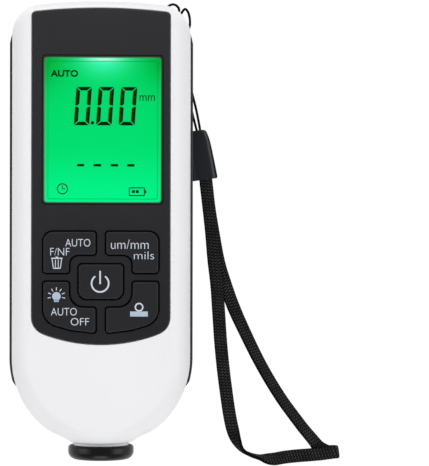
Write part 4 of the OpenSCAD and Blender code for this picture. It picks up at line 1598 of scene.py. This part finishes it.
@dataclass
class Keypad:
    """Five key caps round a power key, each with a rounded top edge and the rim that holds it in."""

    out_x: float = 15.0
    in_x: float = 1.15
    top_y: float = 0.2
    upper_h: float = 11.0
    row_gap: float = 1.9
    corner_r: float = 0.8
    upper_outer_r: float = 2.6
    upper_notch_r: float = 2.4
    lower_outer_r: float = 4.5
    lower_notch_r: float = 3.6
    lower_bow_r: float = 6.0
    power_drop: float = 8.4
    power_w: float = 11.8
    power_h: float = 9.3
    power_space: float = 2.1
    power_low_space: float = 1.85
    power_top_r: float = 1.0
    power_low_r: float = 2.2
    band: float = 2.7
    gap: float = 0.2
    bevel: float = 0.3
    bevel_steps: int = 6
    top_band: float = 0.2
    painted_edge_fall: float = 0.425
    rim: float = 0.45
    rim_z: Pair = (22.2, 23.2)
    top_z: float = 26.35

    def upper(self, grow: float) -> Array:
        """Outline of the upper right key, enlarged by a distance.

        Args:
            grow: Distance in mm that it is enlarged by.

        Returns:
            Ring of points [x, y].
        """
        g, r, low = grow, self.corner_r + grow, self.top_y - self.upper_h
        nx = self.power_w / 2 + self.power_space
        ny = self.top_y - self.power_drop + self.power_space
        return rounded(
            [
                [self.out_x + g, self.top_y + g, self.upper_outer_r + g],
                [self.in_x - g, self.top_y + g, r],
                [self.in_x - g, ny - g, r],
                [nx - g, ny - g, self.upper_notch_r - g],
                [nx - g, low - g, r],
                [self.out_x + g, low - g, r],
            ]
        )

    def lower(self, grow: float) -> Array:
        """Outline of the lower right key, enlarged by a distance; its lower edge follows the panel's.

        Args:
            grow: Distance in mm that it is enlarged by.

        Returns:
            Ring of points [x, y].
        """
        g, r, top = grow, self.corner_r + grow, self.top_y - self.upper_h - self.row_gap
        nx = self.power_w / 2 + self.power_space
        ny = self.top_y - self.power_drop - self.power_h - self.power_low_space
        bow, centre = Panel.low_r - self.band + g, Panel.low_y + Panel.low_r
        x0, x2 = self.in_x - g, self.out_x + g
        x1 = (x0 + x2) / 2
        y0, y1, y2 = (centre - math.sqrt(bow * bow - x * x) for x in (x0, x1, x2))
        return rounded(
            [
                [x2, y2, self.lower_outer_r + g],
                [x2, top + g, r],
                [nx - g, top + g, r],
                [nx - g, ny + g, self.lower_notch_r - g],
                [x0, ny + g, r],
                [x0, y0, r],
                [x1, y1, self.lower_bow_r],
            ]
        )

    def power(self, grow: float) -> Array:
        """Outline of the power key, enlarged by a distance.

        Args:
            grow: Distance in mm that it is enlarged by.

        Returns:
            Ring of points [x, y].
        """
        w, top = self.power_w / 2 + grow, self.top_y - self.power_drop + grow
        low = self.top_y - self.power_drop - self.power_h - grow
        top_r, low_r = self.power_top_r + grow, self.power_low_r + grow
        return rounded([[w, top, top_r], [-w, top, top_r], [-w, low, low_r], [w, low, low_r]])

    def shapes(self, grow: float) -> dict[str, Array]:
        """Outline of each key by its name, enlarged by a distance.

        Args:
            grow: Distance in mm that they are enlarged by.

        Returns:
            Rings of points [x, y].
        """
        flip = np.array([-1.0, 1.0])
        upper, lower = self.upper(grow), self.lower(grow)
        return {
            "mode": (upper * flip)[::-1],
            "unit": upper,
            "power": self.power(grow),
            "light": (lower * flip)[::-1],
            "zero": lower,
        }

    def outlines(self, grow: float) -> list[Array]:
        """All five outlines, enlarged by a distance."""
        return list(self.shapes(grow).values())

    def levels(self) -> list[Pair]:
        """How far each ring of a cap is enlarged, and its height, from the rim's foot to the top.

        Returns:
            Pairs [distance, height].
        """
        rim, side = self.gap + self.rim, -self.gap
        foot, seat = self.rim_z
        made = [(rim, foot), (rim, seat), (side, seat)]
        for a in quarter(self.bevel_steps):
            inset, drop = self.bevel * (1 - math.cos(a)), self.bevel * (1 - math.sin(a))
            made.append((side - inset, self.top_z - drop))
        return made + [(side - self.bevel - self.top_band, self.top_z)]

    def build(self) -> None:
        """Builds the caps: a rim, straight sides, a quarter-round edge and a narrow band on the flat top.

        V falls from 1 at the sides with the distance inwards, so that the finish paints shade on the edge
        and a highlight just inside it.
        """
        levels = self.levels()
        inwards = np.clip([-self.gap - grow for grow, _ in levels], 0, None)
        stacks = [self.shapes(grow) for grow, _ in levels]
        for name in stacks[0]:
            rings = np.stack([at_z(stack[name], z) for stack, (_, z) in zip(stacks, levels)])
            uv = np.zeros(rings.shape[:2] + (2,))
            # V for the painted shade on each cap's edge and the painted highlight just inside it.
            uv[:, :, 1] = 1 - self.painted_edge_fall * inwards[:, None]
            cap = Solid().loft(rings, uv).piece(f"{name}_cap")
            dress(soften(cap, angle=35), Finishes.key, f"{name}_key", [f"key_{name}"])


# Marks


@dataclass(frozen=True)
class Word:
    """A word in plain letters and the box that it fills.

    Attributes:
        text: The word.
        x: Its left and right ends.
        y: Its lower and upper ends.
        bold: Share of the letters' height by which their strokes are widened.
    """

    text: str
    x: Pair
    y: Pair
    bold: float = 0.0


@dataclass
class Marks:
    """Flat marks on one surface, drawn as strokes, filled shapes and words."""

    name: str
    z: float
    finish: Finish
    slot: str
    body: str = CASE_BODY
    solid: Solid = field(default_factory=Solid)
    disc_sides: int = 40
    ring_sides: int = 48

    def stroke(self, line: Array, width: float, closed: bool = False) -> "Marks":
        """Ribbon of a width along a row of points, offset half a width to either side.

        Args:
            line: Array of shape (n, 2).
            width: Width of the ribbon.
            closed: Whether the line runs back to its start.

        Returns:
            This set of marks.
        """
        points = np.vstack([line, line[:1]]) if closed else np.asarray(line, dtype=float)
        ahead = np.gradient(points, axis=0)
        if closed:
            ahead[[0, -1]] = points[1] - points[-2]
        side = unit(ahead)[:, ::-1] * (-1, 1) * width / 2
        self.solid.grid(np.stack([at_z(points + side, self.z), at_z(points - side, self.z)]), wrap=False)
        return self

    def lines(self, points: Array, width: float) -> "Marks":
        """Separate ribbon between each point and the next.

        Args:
            points: Points [x, y].
            width: Width of the ribbons.

        Returns:
            The marks themselves.
        """
        for line in zip(points[:-1], points[1:]):
            self.stroke(np.array(line), width)
        return self

    def fill(self, ring: Array) -> "Marks":
        """Filled shape."""
        self.solid.flat(at_z(np.asarray(ring, dtype=float), self.z))
        return self

    def bar(self, x: Pair, y: Pair) -> "Marks":
        """Filled rectangle between two places along each axis."""
        return self.fill([[x[0], y[0]], [x[1], y[0]], [x[1], y[1]], [x[0], y[1]]])

    def disc(self, centre: Pair, radius: float) -> "Marks":
        """Filled circle."""
        return self.fill(round_section(radius, self.disc_sides) + centre)

    def circle(self, centre: Pair, radius: float, width: float) -> "Marks":
        """Ring of a width."""
        return self.stroke(round_section(radius, self.ring_sides) + centre, width, closed=True)

    def word(self, word: Word) -> "Marks":
        """Word as a flat mesh, fitted into its box.

        Args:
            word: Word with its box.

        Returns:
            The marks themselves.
        """
        curve = bpy.data.curves.new(word.text, "FONT")
        curve.body = word.text
        curve.resolution_u = 4
        curve.offset = word.bold
        holder = place("word", curve)
        graph = bpy.context.evaluated_depsgraph_get()
        mesh = bpy.data.meshes.new_from_object(holder.evaluated_get(graph))
        points = np.empty(len(mesh.vertices) * 3)
        mesh.vertices.foreach_get("co", points)
        plan = points.reshape(-1, 3)[:, :2]
        low, high = plan.min(0), plan.max(0)
        corner, far = np.array([word.x, word.y]).T
        plan = corner + (plan - low) / (high - low) * (far - corner)
        start = self.solid.count()
        self.solid.faces.extend([[v + start for v in face.vertices] for face in mesh.polygons])
        self.solid.add(at_z(plan, self.z))
        bpy.data.objects.remove(holder)
        bpy.data.curves.remove(curve)
        bpy.data.meshes.remove(mesh)
        return self

    def build(self) -> None:
        """Makes the marks one piece that faces up."""
        piece = self.solid.piece(self.name, closed=False)
        work = bmesh.new()
        work.from_mesh(piece.data)
        down = [face for face in work.faces if face.normal.z < 0]
        bmesh.ops.reverse_faces(work, faces=down)
        work.to_mesh(piece.data)
        work.free()
        dress(piece, self.finish, self.body)


@dataclass
class Display:
    """Marks of the liquid crystal display, just above its glass, and lines along the window's edges: a dark
    rim and a painted highlight on the lens.

    A line round the window has its distance outside it, the radius of its corners and its width.
    """

    z: float = 22.96
    slant: float = 0.07
    upright_w: float = 1.2
    level_w: float = 0.95
    split: float = 0.16
    waist: float = 0.55
    digits_x: tuple[Pair, ...] = ((-7.1, -3.1), (-1.35, 2.7), (4.45, 8.65))
    digits_y: Pair = (27.55, 37.5)
    point_at: Pair = (-2.28, 28.2)
    point_r: float = 0.46
    words: tuple[Word, ...] = (
        Word("AUTO", (-13.1, -5.95), (40.05, 41.85), 0.036),
        Word("mm", (9.9, 13.9), (33.9, 35.4)),
    )
    dashes_x: tuple[Pair, ...] = ((-6.2, -4.4), (-1.95, 0.0), (2.45, 4.4), (6.75, 8.6))
    dashes_y: Pair = (16.9, 17.55)
    clock_at: Pair = (-10.0, 11.1)
    clock_r: float = 1.3
    clock_line: float = 0.28
    hands: Pair = (0.85, 0.7)
    hand_line: float = 0.24
    cell_x: Pair = (7.3, 11.2)
    cell_y: Pair = (9.4, 11.4)
    cell_line: float = 0.26
    pole_x: Pair = (11.2, 11.65)
    pole_y: Pair = (10.0, 10.8)
    charge_x: tuple[Pair, ...] = ((8.0, 8.75), (9.0, 9.75))
    charge_y: Pair = (10.05, 10.8)
    border: Triple = (-0.95, 0.4, 0.14)
    rim: Triple = (0.45, Panel.win_r, 0.26)
    # Painted highlight along the lens's edge inside the window.
    glint: Triple = (-0.1, Panel.win_r, 0.16)

    def digit(self, marks: Marks, x: Pair, y: Pair) -> None:
        """Slanted nought of six bars that meet in mitred corners.

        Args:
            marks: Marks to add it to.
            x: Its left and right ends at the foot.
            y: Its foot and head.
        """
        (x0, x1), (y0, y1) = x, y
        w, t, gap, mid = self.upright_w, self.level_w, self.split, (y0 + y1) / 2
        inner = x0 + w - gap
        foot = np.array([[x0 + gap, y0], [x1 - gap, y0], [x1 - w, y0 + t], [x0 + w, y0 + t]])
        head = [[inner, mid - self.waist], [x0 + w / 2, mid - gap], [x0, mid - gap]]
        left = np.array([[x0, y0 + gap], [inner, y0 + t + gap], *head])
        shapes = [foot, left, left * (-1, 1) + (x0 + x1, 0)]
        shapes += [ring * (1, -1) + (0, y0 + y1) for ring in shapes]
        for ring in shapes:
            ring[:, 0] += self.slant * (ring[:, 1] - y0)
            marks.fill(ring)

    def build(self, panel: Panel) -> None:
        """Draws the reading and its small signs, and then the three lines round the window, the inner one a
        painted highlight.

        Args:
            panel: Panel with the window.
        """
        self.reading()
        on_panel, on_lens = panel.z1 + SKIN, panel.z0 + SKIN
        edges = (
            (Marks("display_border", self.z, Finishes.line, "display_glass"), self.border),
            (Marks("window_rim", on_panel, Finishes.rim, "panel_plastic"), self.rim),
            # Painted highlight on the lens, along the window's edge.
            (Marks("window_edge_glint", on_lens, Finishes.glint, "clear_lens"), self.glint),
        )
        for marks, (grow, radius, width) in edges:
            marks.stroke(panel.window(grow, radius), width, closed=True).build()

    def reading(self) -> None:
        """Three digits with their point, the words, the dashes, a clock and a cell."""
        marks = Marks("display_reading", self.z, Finishes.segment, "display_glass")
        for x in self.digits_x:
            self.digit(marks, x, self.digits_y)
        marks.disc(self.point_at, self.point_r)
        for word in self.words:
            marks.word(word)
        for x in self.dashes_x:
            marks.bar(x, self.dashes_y)
        clock, (up, right) = np.array(self.clock_at), self.hands
        marks.circle(self.clock_at, self.clock_r, self.clock_line)
        marks.stroke(np.array([clock + (0, up), clock, clock + (right, 0)]), self.hand_line)
        (x0, x1), (y0, y1) = self.cell_x, self.cell_y
        marks.lines(np.array([[x0, y0], [x1, y0], [x1, y1], [x0, y1], [x0, y0]]), self.cell_line)
        marks.bar(self.pole_x, self.pole_y)
        for x in self.charge_x:
            marks.bar(x, self.charge_y)
        marks.build()


@dataclass
class KeyMarks:
    """Printed words and signs on the five keys.

    The bin and the lamp are drawn about their own places; the sizes of their parts are half widths,
    and heights from there.
    """

    z: float = 26.37
    words: tuple[tuple[str, Word], ...] = (
        ("mode", Word("AUTO", (-9.15, -2.7), (-3.8, -1.85), -0.01)),
        ("mode", Word("F/NF", (-13.0, -8.08), (-6.1, -4.15), -0.012)),
        ("unit", Word("um/mm", (2.6, 12.3), (-4.41, -1.99), -0.012)),
        ("unit", Word("mils", (8.5, 13.7), (-7.06, -5.03), -0.014)),
        ("light", Word("AUTO", (-12.8, -6.15), (-21.55, -19.6), -0.01)),
        ("light", Word("OFF", (-7.72, -3.02), (-24.1, -22.2), -0.01)),
    )
    bin_at: Pair = (-11.3, -9.5)
    bin_mouth: float = 1.22
    bin_foot: float = 0.9
    bin_y: Pair = (0.1, 2.45)
    bin_line: float = 0.22
    bin_foot_line: float = 0.28
    lid_w: float = 1.48
    lid_y: Pair = (2.52, 2.8)
    knob_w: float = 0.32
    knob_y: Pair = (2.8, 3.08)
    slots_x: Pair = (-0.36, 0.36)
    slot_w: float = 0.1
    slot_y: Pair = (0.3, 2.3)
    power_at: Pair = (-0.18, -13.28)
    power_r: float = 2.2
    power_turn: Pair = (125.0, 415.0)
    power_line: float = 0.42
    power_bar: tuple[Pair, Pair] = ((-0.38, 0.02), (-13.45, -10.05))
    lamp_at: Pair = (-11.4, -16.6)
    bulb_r: float = 1.1
    bulb_foot_w: float = 0.6
    bulb_foot_y: Pair = (-1.45, -0.9)
    rays: tuple[float, ...] = (-12, 22, 56, 90, 124, 158, 192)
    ray: Pair = (1.5, 2.3)
    ray_line: float = 0.2
    zero_at: Pair = (9.85, -19.4)
    zero_r: float = 0.95
    zero_line: float = 0.36
    plate: tuple[Pair, Pair] = ((7.55, 12.1), (-21.8, -20.5))

    def _on(self, key: str, part: str = "marks", finish: Finish = Finishes.mark) -> Marks:
        """Empty set of marks on one key."""
        return Marks(f"{key}_{part}", self.z, finish, "key_plastic", f"{key}_key")

    def build(self) -> None:
        """Prints every key."""
        made = {key: self._on(key) for key in ("mode", "unit", "power", "light", "zero")}
        for key, word in self.words:
            made[key].word(word)
        self.bin(made["mode"])
        broken = arc(self.power_at, self.power_r, *self.power_turn, steps=60)
        made["power"].stroke(broken, self.power_line)
        made["power"].bar(*self.power_bar)
        self.lamp(made["light"])
        made["zero"].circle(self.zero_at, self.zero_r, self.zero_line)
        self._on("zero", "plate", Finishes.tint).bar(*self.plate).build()
        for marks in made.values():
            marks.build()

    def bin(self, marks: Marks) -> None:
        """Bin with a lid, for clearing.

        Args:
            marks: Marks that it is added to.
        """
        x, y = self.bin_at
        low, high = self.bin_y
        left, right = (
            np.array([[x + s * self.bin_mouth, y + high], [x + s * self.bin_foot, y + low]]) for s in (-1, 1)
        )
        marks.stroke(left, self.bin_line)
        marks.stroke(np.array([left[1], right[1]]), self.bin_foot_line)
        marks.stroke(right[::-1], self.bin_line)
        bars = [(0.0, self.lid_w, self.lid_y), (0.0, self.knob_w, self.knob_y)]
        bars += [(dx, self.slot_w, self.slot_y) for dx in self.slots_x]
        for dx, half, (y0, y1) in bars:
            marks.bar((x + dx - half, x + dx + half), (y + y0, y + y1))

    def lamp(self, marks: Marks) -> None:
        """Rays on the key's marks, and a bulb with its foot as a piece of its own.

        Args:
            marks: Marks that the rays are added to.
        """
        x, y = self.lamp_at
        y0, y1 = self.bulb_foot_y
        bulb = self._on("light", "bulb", Finishes.tint).disc(self.lamp_at, self.bulb_r)
        bulb.bar((x - self.bulb_foot_w, x + self.bulb_foot_w), (y + y0, y + y1)).build()
        for angle in np.radians(self.rays):
            way = [math.cos(angle), math.sin(angle)]
            marks.stroke(np.array(self.lamp_at) + np.outer(self.ray, way), self.ray_line)


# The probe


@dataclass
class Probe:
    """Collar, sliding plunger and hard tip, turned about the probe's axis, and the return spring.

    The nose is the plunger's closed profile, in pairs of radius and distance from the collar's face.
    """

    collar_r: float = 8.6
    face_edge: float = 2.1
    back_edge: float = 0.8
    mouth: float = 0.6
    mouth_step: float = 0.2
    plunger_r: float = 4.5
    play: float = 0.1
    spigot_r: float = 6.1
    spigot_end: float = 8.8
    nose: tuple[Pair, ...] = (
        (1.5, 0.3), (3.9, 0.3), (4.25, 0.4), (4.45, 0.65), (4.5, 0.9), (4.5, 8.9), (5.0, 8.9),
        (5.0, 10.4), (3.4, 10.4), (3.4, 16), (1.3, 16), (1.3, 8.8), (3.0, 8.8), (3.0, 3.0), (1.3, 3.0),
        (1.3, 1.8), (1.5, 1.8), (1.5, 0.3),
    )
    tip_r: float = 1.48
    tip_ball: float = 2.25
    tip_proud: float = 0.6
    tip_end: float = 1.8
    spring_r: float = 4.2
    spring_wire_r: float = 0.32
    spring_turns: int = 6
    spring_y: Pair = (-49.25, -39.05)
    turn_steps: int = 24
    wire_sides: int = 10

    def build(self) -> None:
        """Builds the three pieces that show and the spring behind them."""
        self.spring()
        ring, nose = self.collar(), np.array(self.nose)
        self._turn("collar_ring", ring, Finishes.collar, "collar_plastic", CASE_BODY, ["probe_collar"])
        self._turn("plunger_nose", nose, Finishes.collar, "collar_plastic", PROBE_BODY, ["probe_plunger"])
        rise = np.linspace(0, math.asin(self.tip_r / self.tip_ball), num=14)
        ball = self.tip_ball * np.column_stack([np.sin(rise), 1 - np.cos(rise)]) - (0, self.tip_proud)
        tip = np.vstack([ball, [[self.tip_r, self.tip_end], [0.0, self.tip_end]]])
        self._turn("hard_tip", tip, Finishes.steel, "steel", PROBE_BODY, ["probe_tip"])

    def collar(self) -> Array:
        """Closed profile of the collar: an eased mouth, two rounded outer edges and the spigot.

        Returns:
            Points [radius, distance along the axis].
        """
        bore, length = self.plunger_r + self.play, Case.collar_len
        front, back = self.face_edge, self.back_edge
        return np.vstack(
            [
                [[bore, self.mouth], [bore + self.mouth_step, self.mouth_step], [bore + self.mouth, 0.0]],
                arc((self.collar_r - front, front), front, -90, 0, steps=18),
                arc((self.collar_r - back, length - back), back, 0, 90, steps=12),
                [[self.spigot_r, length], [self.spigot_r, self.spigot_end]],
                [[bore, self.spigot_end], [bore, self.mouth]],
            ]
        )

    def spring(self) -> None:
        """Return spring: a small circle carried along a helix, baked in place on no body.

        With a turning evenly along the wire, the middle of the wire is at x = r cos a, z = axis + r sin a,
        and y rises evenly from the plunger's flange to the plug, a wire's radius inside each.
        """
        wire, (low, high) = self.spring_wire_r, self.spring_y
        turn = np.linspace(0, 2 * math.pi * self.spring_turns, self.turn_steps * self.spring_turns + 1)
        out = np.column_stack([np.cos(turn), np.zeros_like(turn), np.sin(turn)])
        path = self.spring_r * out + (0.0, 0.0, Case.part_z)
        path[:, 1] = np.linspace(low + wire, high - wire, len(turn))
        rings = sweep(path, out, np.cross(out, directions(path)), round_section(wire, self.wire_sides))
        piece = Solid().loft(rings).piece("return_spring")
        dress(soften(piece, angle=60), Finishes.steel, None, ["probe_spring"])
        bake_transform(piece)

    @staticmethod
    def _turn(name: str, profile: Array, finish: Finish, slot: str, body: str, nodes: Sequence[str]) -> None:
        """Turns a closed profile into a piece."""
        piece = Solid().grid(lathe(profile)).piece(name)
        dress(soften(piece, angle=35), finish, body, nodes)


# The wrist strap


@dataclass
class Strap:
    """String, sleeve and webbing along the route that the CAD cords have.

    A point of the webbing's route also has the direction of its width in plan and its tilt, in degrees.
    The sleeve's sizes are half its width and half its thickness at shares of its length.
    """

    string_d: float = 0.66
    string_yarn: float = 0.5
    string_sides: int = 14
    string_up: Triple = (0.35, 0.2, 0.9)
    web_w: float = 3.5
    web_t: float = 1.1
    web_yarn: float = 0.8
    web_sides: int = 36
    web_square: Pair = (0.45, 0.6)
    sleeve_top: Triple = (25.6, 27.2, 1.7)
    sleeve_low: Triple = (27.4, 14.0, 1.7)
    sleeve_sizes: tuple[Triple, ...] = (
        (0.0, 1.7, 0.8), (0.02, 2.1, 1.15), (0.06, 2.45, 1.4), (0.25, 3.0, 1.6), (0.6, 3.4, 1.65),
        (0.9, 3.65, 1.65), (0.97, 3.68, 1.6), (1.0, 3.45, 1.4),
    )
    sleeve_section: tuple[Triple, ...] = (
        (1.0, -0.1, 0.12), (0.7, 1.0, 0.04), (-0.7, 1.0, 0.04), (-1.0, -0.1, 0.12), (-1.0, -1.0, 0.1),
        (1.0, -1.0, 0.1),
    )
    string_route: tuple[Triple, ...] = (
        (26.45, 25.8, 1.7), (26.3, 27.4, 1.6), (25.85, 30, 1.3), (25.2, 33.2, 1), (24.4, 36.4, 0.8),
        (23.5, 40, 0.7), (22.65, 44, 0.6), (21.85, 47, 0.6), (21.25, 48.6, 0.8), (20.95, 50.2, 1.75),
        (20.85, 54, 4.55), (20.8, 56.9, 6.65), (21.25, 58.3, 7.6), (22.1, 59.15, 8), (22.95, 58.25, 7.3),
        (23.4, 56.5, 5.7), (23.4, 54.9, 3.9), (22.8, 54, 2.2), (21.8, 54.5, 1), (20.6, 55.7, 0.6),
        (19.3, 56.6, 0.7), (18.1, 57.4, 1.2), (17.3, 58.4, 2.5), (17.1, 59.35, 4.4), (17.7, 60.05, 6.2),
        (18.75, 60.4, 7.6), (19.8, 60, 8.2), (20.5, 58.9, 7.8), (20.1, 57.2, 6.8), (20, 53.6, 4.25),
        (20.1, 50.2, 1.75), (20.4, 48.4, 0.6), (20.85, 47.2, 0.45), (21.5, 45, 0.5), (22.3, 41, 0.6),
        (23.3, 35.6, 0.7), (24.3, 31.6, 1), (25, 28.8, 1.4), (25.5, 26.8, 1.6), (25.7, 25.6, 1.7),
    )
    web_route: tuple[tuple[float, float, float, float, float], ...] = (
        (27.7, 15.4, 2.5, 7, 0), (28, 12.3, 2.5, 7, 0), (28.6, 7.2, 2.4, 6, 0), (29.4, 0, 2.3, 6, 0),
        (30, -7, 2.2, 5, 0), (30.85, -14.2, 2, 5, 0), (31.35, -20.9, 1.5, 5, 0), (31.95, -29.2, 0.7, 6, 0),
        (32.6, -35.9, 0.6, 7, 0), (33.3, -41.6, 0.6, 7, 0), (34.35, -48.8, 0.6, 9, 0),
        (35.25, -53.1, 1.1, 15, 20), (36.25, -56, 1.8, 28, 50), (37.7, -58.4, 2.1, 50, 80),
        (40, -59.7, 2.1, 68, 90), (42.4, -60.4, 2.1, 75, 100), (44.3, -60.8, 1.9, 85, 130),
        (46.4, -60.9, 1.4, 93, 155), (49.1, -60.5, 0.9, 98, 175), (52.3, -60.1, 1.3, 97, 180),
        (55.3, -59.8, 2.1, 96, 180), (58.5, -59.5, 2.4, 96, 180), (60.9, -59.2, 2.4, 97, 180),
        (62.5, -59, 2.3, 98, 180), (63.3, -59, 1.5, 98, 180), (62.5, -59, 0.7, 98, 180),
        (60.6, -58.9, 0.6, 82, 180), (58.3, -57.6, 0.75, 52, 172), (57, -56, 1.35, 41, 151),
        (54.9, -53.5, 1.5, 39, 145), (53, -51.1, 1.5, 37, 144), (47.9, -44.1, 1.5, 34, 144),
        (42.7, -35.4, 1.45, 28, 146), (37.9, -25.7, 1.25, 25, 155), (35.2, -19.6, 0.8, 22, 172),
        (33.2, -14, 0.6, 18, 180), (31.4, -8.1, 0.6, 16, 180), (30, -0.8, 0.7, 11, 180),
        (28.8, 6.4, 0.8, 9, 180), (28.1, 12.3, 1, 8, 180), (27.7, 15.4, 1, 8, 180),
    )

    def build(self) -> None:
        self.string(self.sleeve())
        self.webbing()

    def string(self, sleeve: bpy.types.Object) -> None:
        """Round string: a circle carried along the route in the frame of its direction.

        Args:
            sleeve: The piece that holds both its ends.
        """
        path = spline(np.array(self.string_route), per_span=8)
        ahead = directions(path)
        side = unit(np.cross(ahead, self.string_up))
        section = round_section(self.string_d / 2, self.string_sides)
        rings = sweep(path, side, np.cross(ahead, side), section)
        round_it = np.linspace(0, 2, self.string_sides, endpoint=False)
        uv = pattern(distances(path) / self.string_yarn, round_it)
        piece = Solid().loft(rings, uv).piece("strap_string")
        dress(soften(piece, angle=60), Finishes.string, nodes=["strap_cord"])
        self._declare(piece, path, self.string_d, [sleeve])

    def webbing(self) -> None:
        """Flat woven band: a flattened oval carried along the route, its width turned as it says.

        The oval is a circle whose coordinates, from -1 to 1, are raised to powers below 1.
        """
        route = spline(np.array(self.web_route), per_span=10)
        path, (plan, tilt) = route[:, :3], np.radians(route[:, 3:]).T
        ahead = directions(path)
        wide = np.stack([np.cos(plan) * np.cos(tilt), np.sin(plan) * np.cos(tilt), np.sin(tilt)], axis=1)
        wide = unit(wide - (wide * ahead).sum(1, keepdims=True) * ahead)
        turned = round_section(1.0, self.web_sides)
        oval = np.sign(turned) * np.abs(turned) ** self.web_square
        rings = sweep(path, wide, np.cross(ahead, wide), oval * (self.web_w / 2, self.web_t / 2))
        uv = pattern(distances(path) / self.web_yarn, oval[:, 0] / 2 + 0.5)
        piece = Solid().loft(rings, uv).piece("strap_web")
        dress(soften(piece, angle=60), Finishes.webbing, nodes=["strap_webbing"])
        self._declare(piece, path, self.web_w)

    @staticmethod
    def _declare(
        piece: bpy.types.Object, path: Array, width: float, pieces: Sequence[bpy.types.Object] = ()
    ) -> None:
        """Takes a cord and the pieces on it, and does nothing with them.

        Args:
            piece: The cord; not used.
            path: Its middle line, in mm; not used.
            width: Its width in mm; not used.
            pieces: Pieces that are on it; not used.
        """

    def sleeve(self) -> bpy.types.Object:
        """Moulded sleeve: a section with bevelled sides that widens towards the webbing.

        Returns:
            The sleeve.
        """
        stations = spline(np.array(self.sleeve_sizes), per_span=6)
        top, low = np.array(self.sleeve_top), np.array(self.sleeve_low)
        ahead = unit(low - top)
        wide = unit(np.cross([0.0, 0.0, 1.0], ahead))
        section = rounded(self.sleeve_section, steps=6)
        middle = top + (low - top) * stations[:, :1]
        rings = sweep(middle, wide, np.cross(ahead, wide), section * stations[:, None, 1:])
        # V runs across the width, for the painted highlight and shade at the sides.
        uv = pattern(stations[:, 0], section[:, 0] / 2 + 0.5)
        piece = Solid().loft(rings, uv).piece("strap_joint")
        return dress(soften(piece, angle=40), Finishes.sleeve, nodes=["strap_sleeve"])


# Surroundings


@dataclass(frozen=True)
class Lamp:
    """Square soft lamp.

    Attributes:
        name: Its name.
        at: Its place in metres.
        turn: How it is turned, in degrees.
        size: Its side in metres.
        power: Its power in watts.
    """

    name: str
    at: Triple
    turn: Triple
    size: float
    power: float

    def build(self) -> None:
        """Adds the lamp to the scene."""
        data = bpy.data.lights.new(self.name, "AREA")
        data.size = self.size
        data.energy = self.power
        lamp = place(self.name, data)
        lamp.location = self.at
        lamp.rotation_euler = tuple(math.radians(a) for a in self.turn)


@dataclass
class Studio:
    """Camera above the display, turned a little to the right, a white floor and soft lamps."""

    eye: Triple = (0.005, -0.0003, 0.643)
    lens: float = 184.9
    sensor: float = 36.0
    nearest: float = 0.01
    lean: float = -2.253
    roll: float = 0.1
    floor_half: float = 3000.0
    floor_z: float = -0.05
    floor_grey: Colour = (0.35, 0.35, 0.35)
    floor_glow: float = 1.08
    floor_seen: float = 0.92
    surround: float = 0.335
    lamps: tuple[Lamp, ...] = (
        Lamp("left", (-0.66, 0.05, 0.34), (0, -63, 0), 0.5, 2.3),
        Lamp("right", (0.66, 0.0, 0.34), (0, 63, 0), 0.5, 2.38),
        Lamp("upper", (0.0, 0.66, 0.3), (-66, 0, 0), 0.4, 2.5),
        Lamp("lower", (0.0, -0.66, 0.34), (63, 0, 0), 0.4, 2.15),
    )

    def build(self) -> None:
        """Sets up the view, the floor and the light."""
        self.camera()
        self.floor()
        self.light()
        bpy.context.scene.view_settings.view_transform = "Standard"

    def camera(self) -> None:
        """Camera that looks down, leaning so that the gauge is left of the middle."""
        data = bpy.data.cameras.new("camera")
        data.lens = self.lens
        data.sensor_width = self.sensor
        data.clip_start = self.nearest
        eye = place("camera", data)
        eye.location = self.eye
        eye.rotation_euler = (0.0, math.radians(self.lean), math.radians(self.roll))
        bpy.context.scene.camera = eye

    def floor(self) -> None:
        """White floor that shows as white and keeps a faint shadow.

        To the camera and in reflections it glows; to the light that falls on it, it is grey.
        """
        half = self.floor_half
        ring = np.array([[-half, -half], [half, -half], [half, half], [-half, half]])
        floor = Solid().flat(at_z(ring, self.floor_z)).piece("floor", closed=False)
        shader = Shader("floor").set(Base_Color=self.floor_grey, Roughness=0.9)
        rays = shader.node("ShaderNodeLightPath").outputs
        seen, mirrored, through = (
            Wire(shader, rays[f"Is {kind} Ray"]) for kind in ("Camera", "Glossy", "Transmission")
        )
        share = shader.math("MINIMUM", seen * self.floor_seen + (mirrored + through), 1.0)
        white = (1.0, 1.0, 1.0)
        glow = shader.node("ShaderNodeEmission", inputs={"Color": white, "Strength": self.floor_glow})
        mixed = shader.node(
            "ShaderNodeMixShader",
            inputs={0: share, 1: shader.surface.outputs[0], 2: glow.outputs[0]},
        )
        shader.feed(shader.output.inputs["Surface"], mixed.outputs[0])
        floor.data.materials.append(shader.material)

    def light(self) -> None:
        """Soft lamps at both sides, weaker ones at both ends and an even surround."""
        for lamp in self.lamps:
            lamp.build()
        world = bpy.data.worlds.new("surround")
        bpy.context.scene.world = world
        world.use_nodes = True
        colour, strength = world.node_tree.nodes["Background"].inputs[:2]
        colour.default_value = (1.0, 1.0, 1.0, 1.0)
        strength.default_value = self.surround


def dress_solids() -> None:
    """Gives every CAD node that still shows the finish of its slot."""
    for row in frame["record"]["subparts"]:
        node = frame["nodes"][row["node"]]
        node.data.materials.clear()
        node.data.materials.append(Finishes.for_slot(row["material_slot"]))


def main() -> None:
    """Builds the studio, the strap, the case, the front and the probe, and dresses the CAD solids that still
    show.
    """
    logging.basicConfig(level=logging.INFO, format="%(name)s: %(message)s")
    Studio().build()
    Strap().build()
    panel, keys = Panel(), Keypad()
    Case().build(panel, keys)
    for side in Side:
        Grip(side).build()
    panel.build(keys)
    keys.build()
    KeyMarks().build()
    Display().build(panel)
    Probe().build()
    dress_solids()
    bpy.context.view_layer.update()


if __name__ == "__main__":
    main()
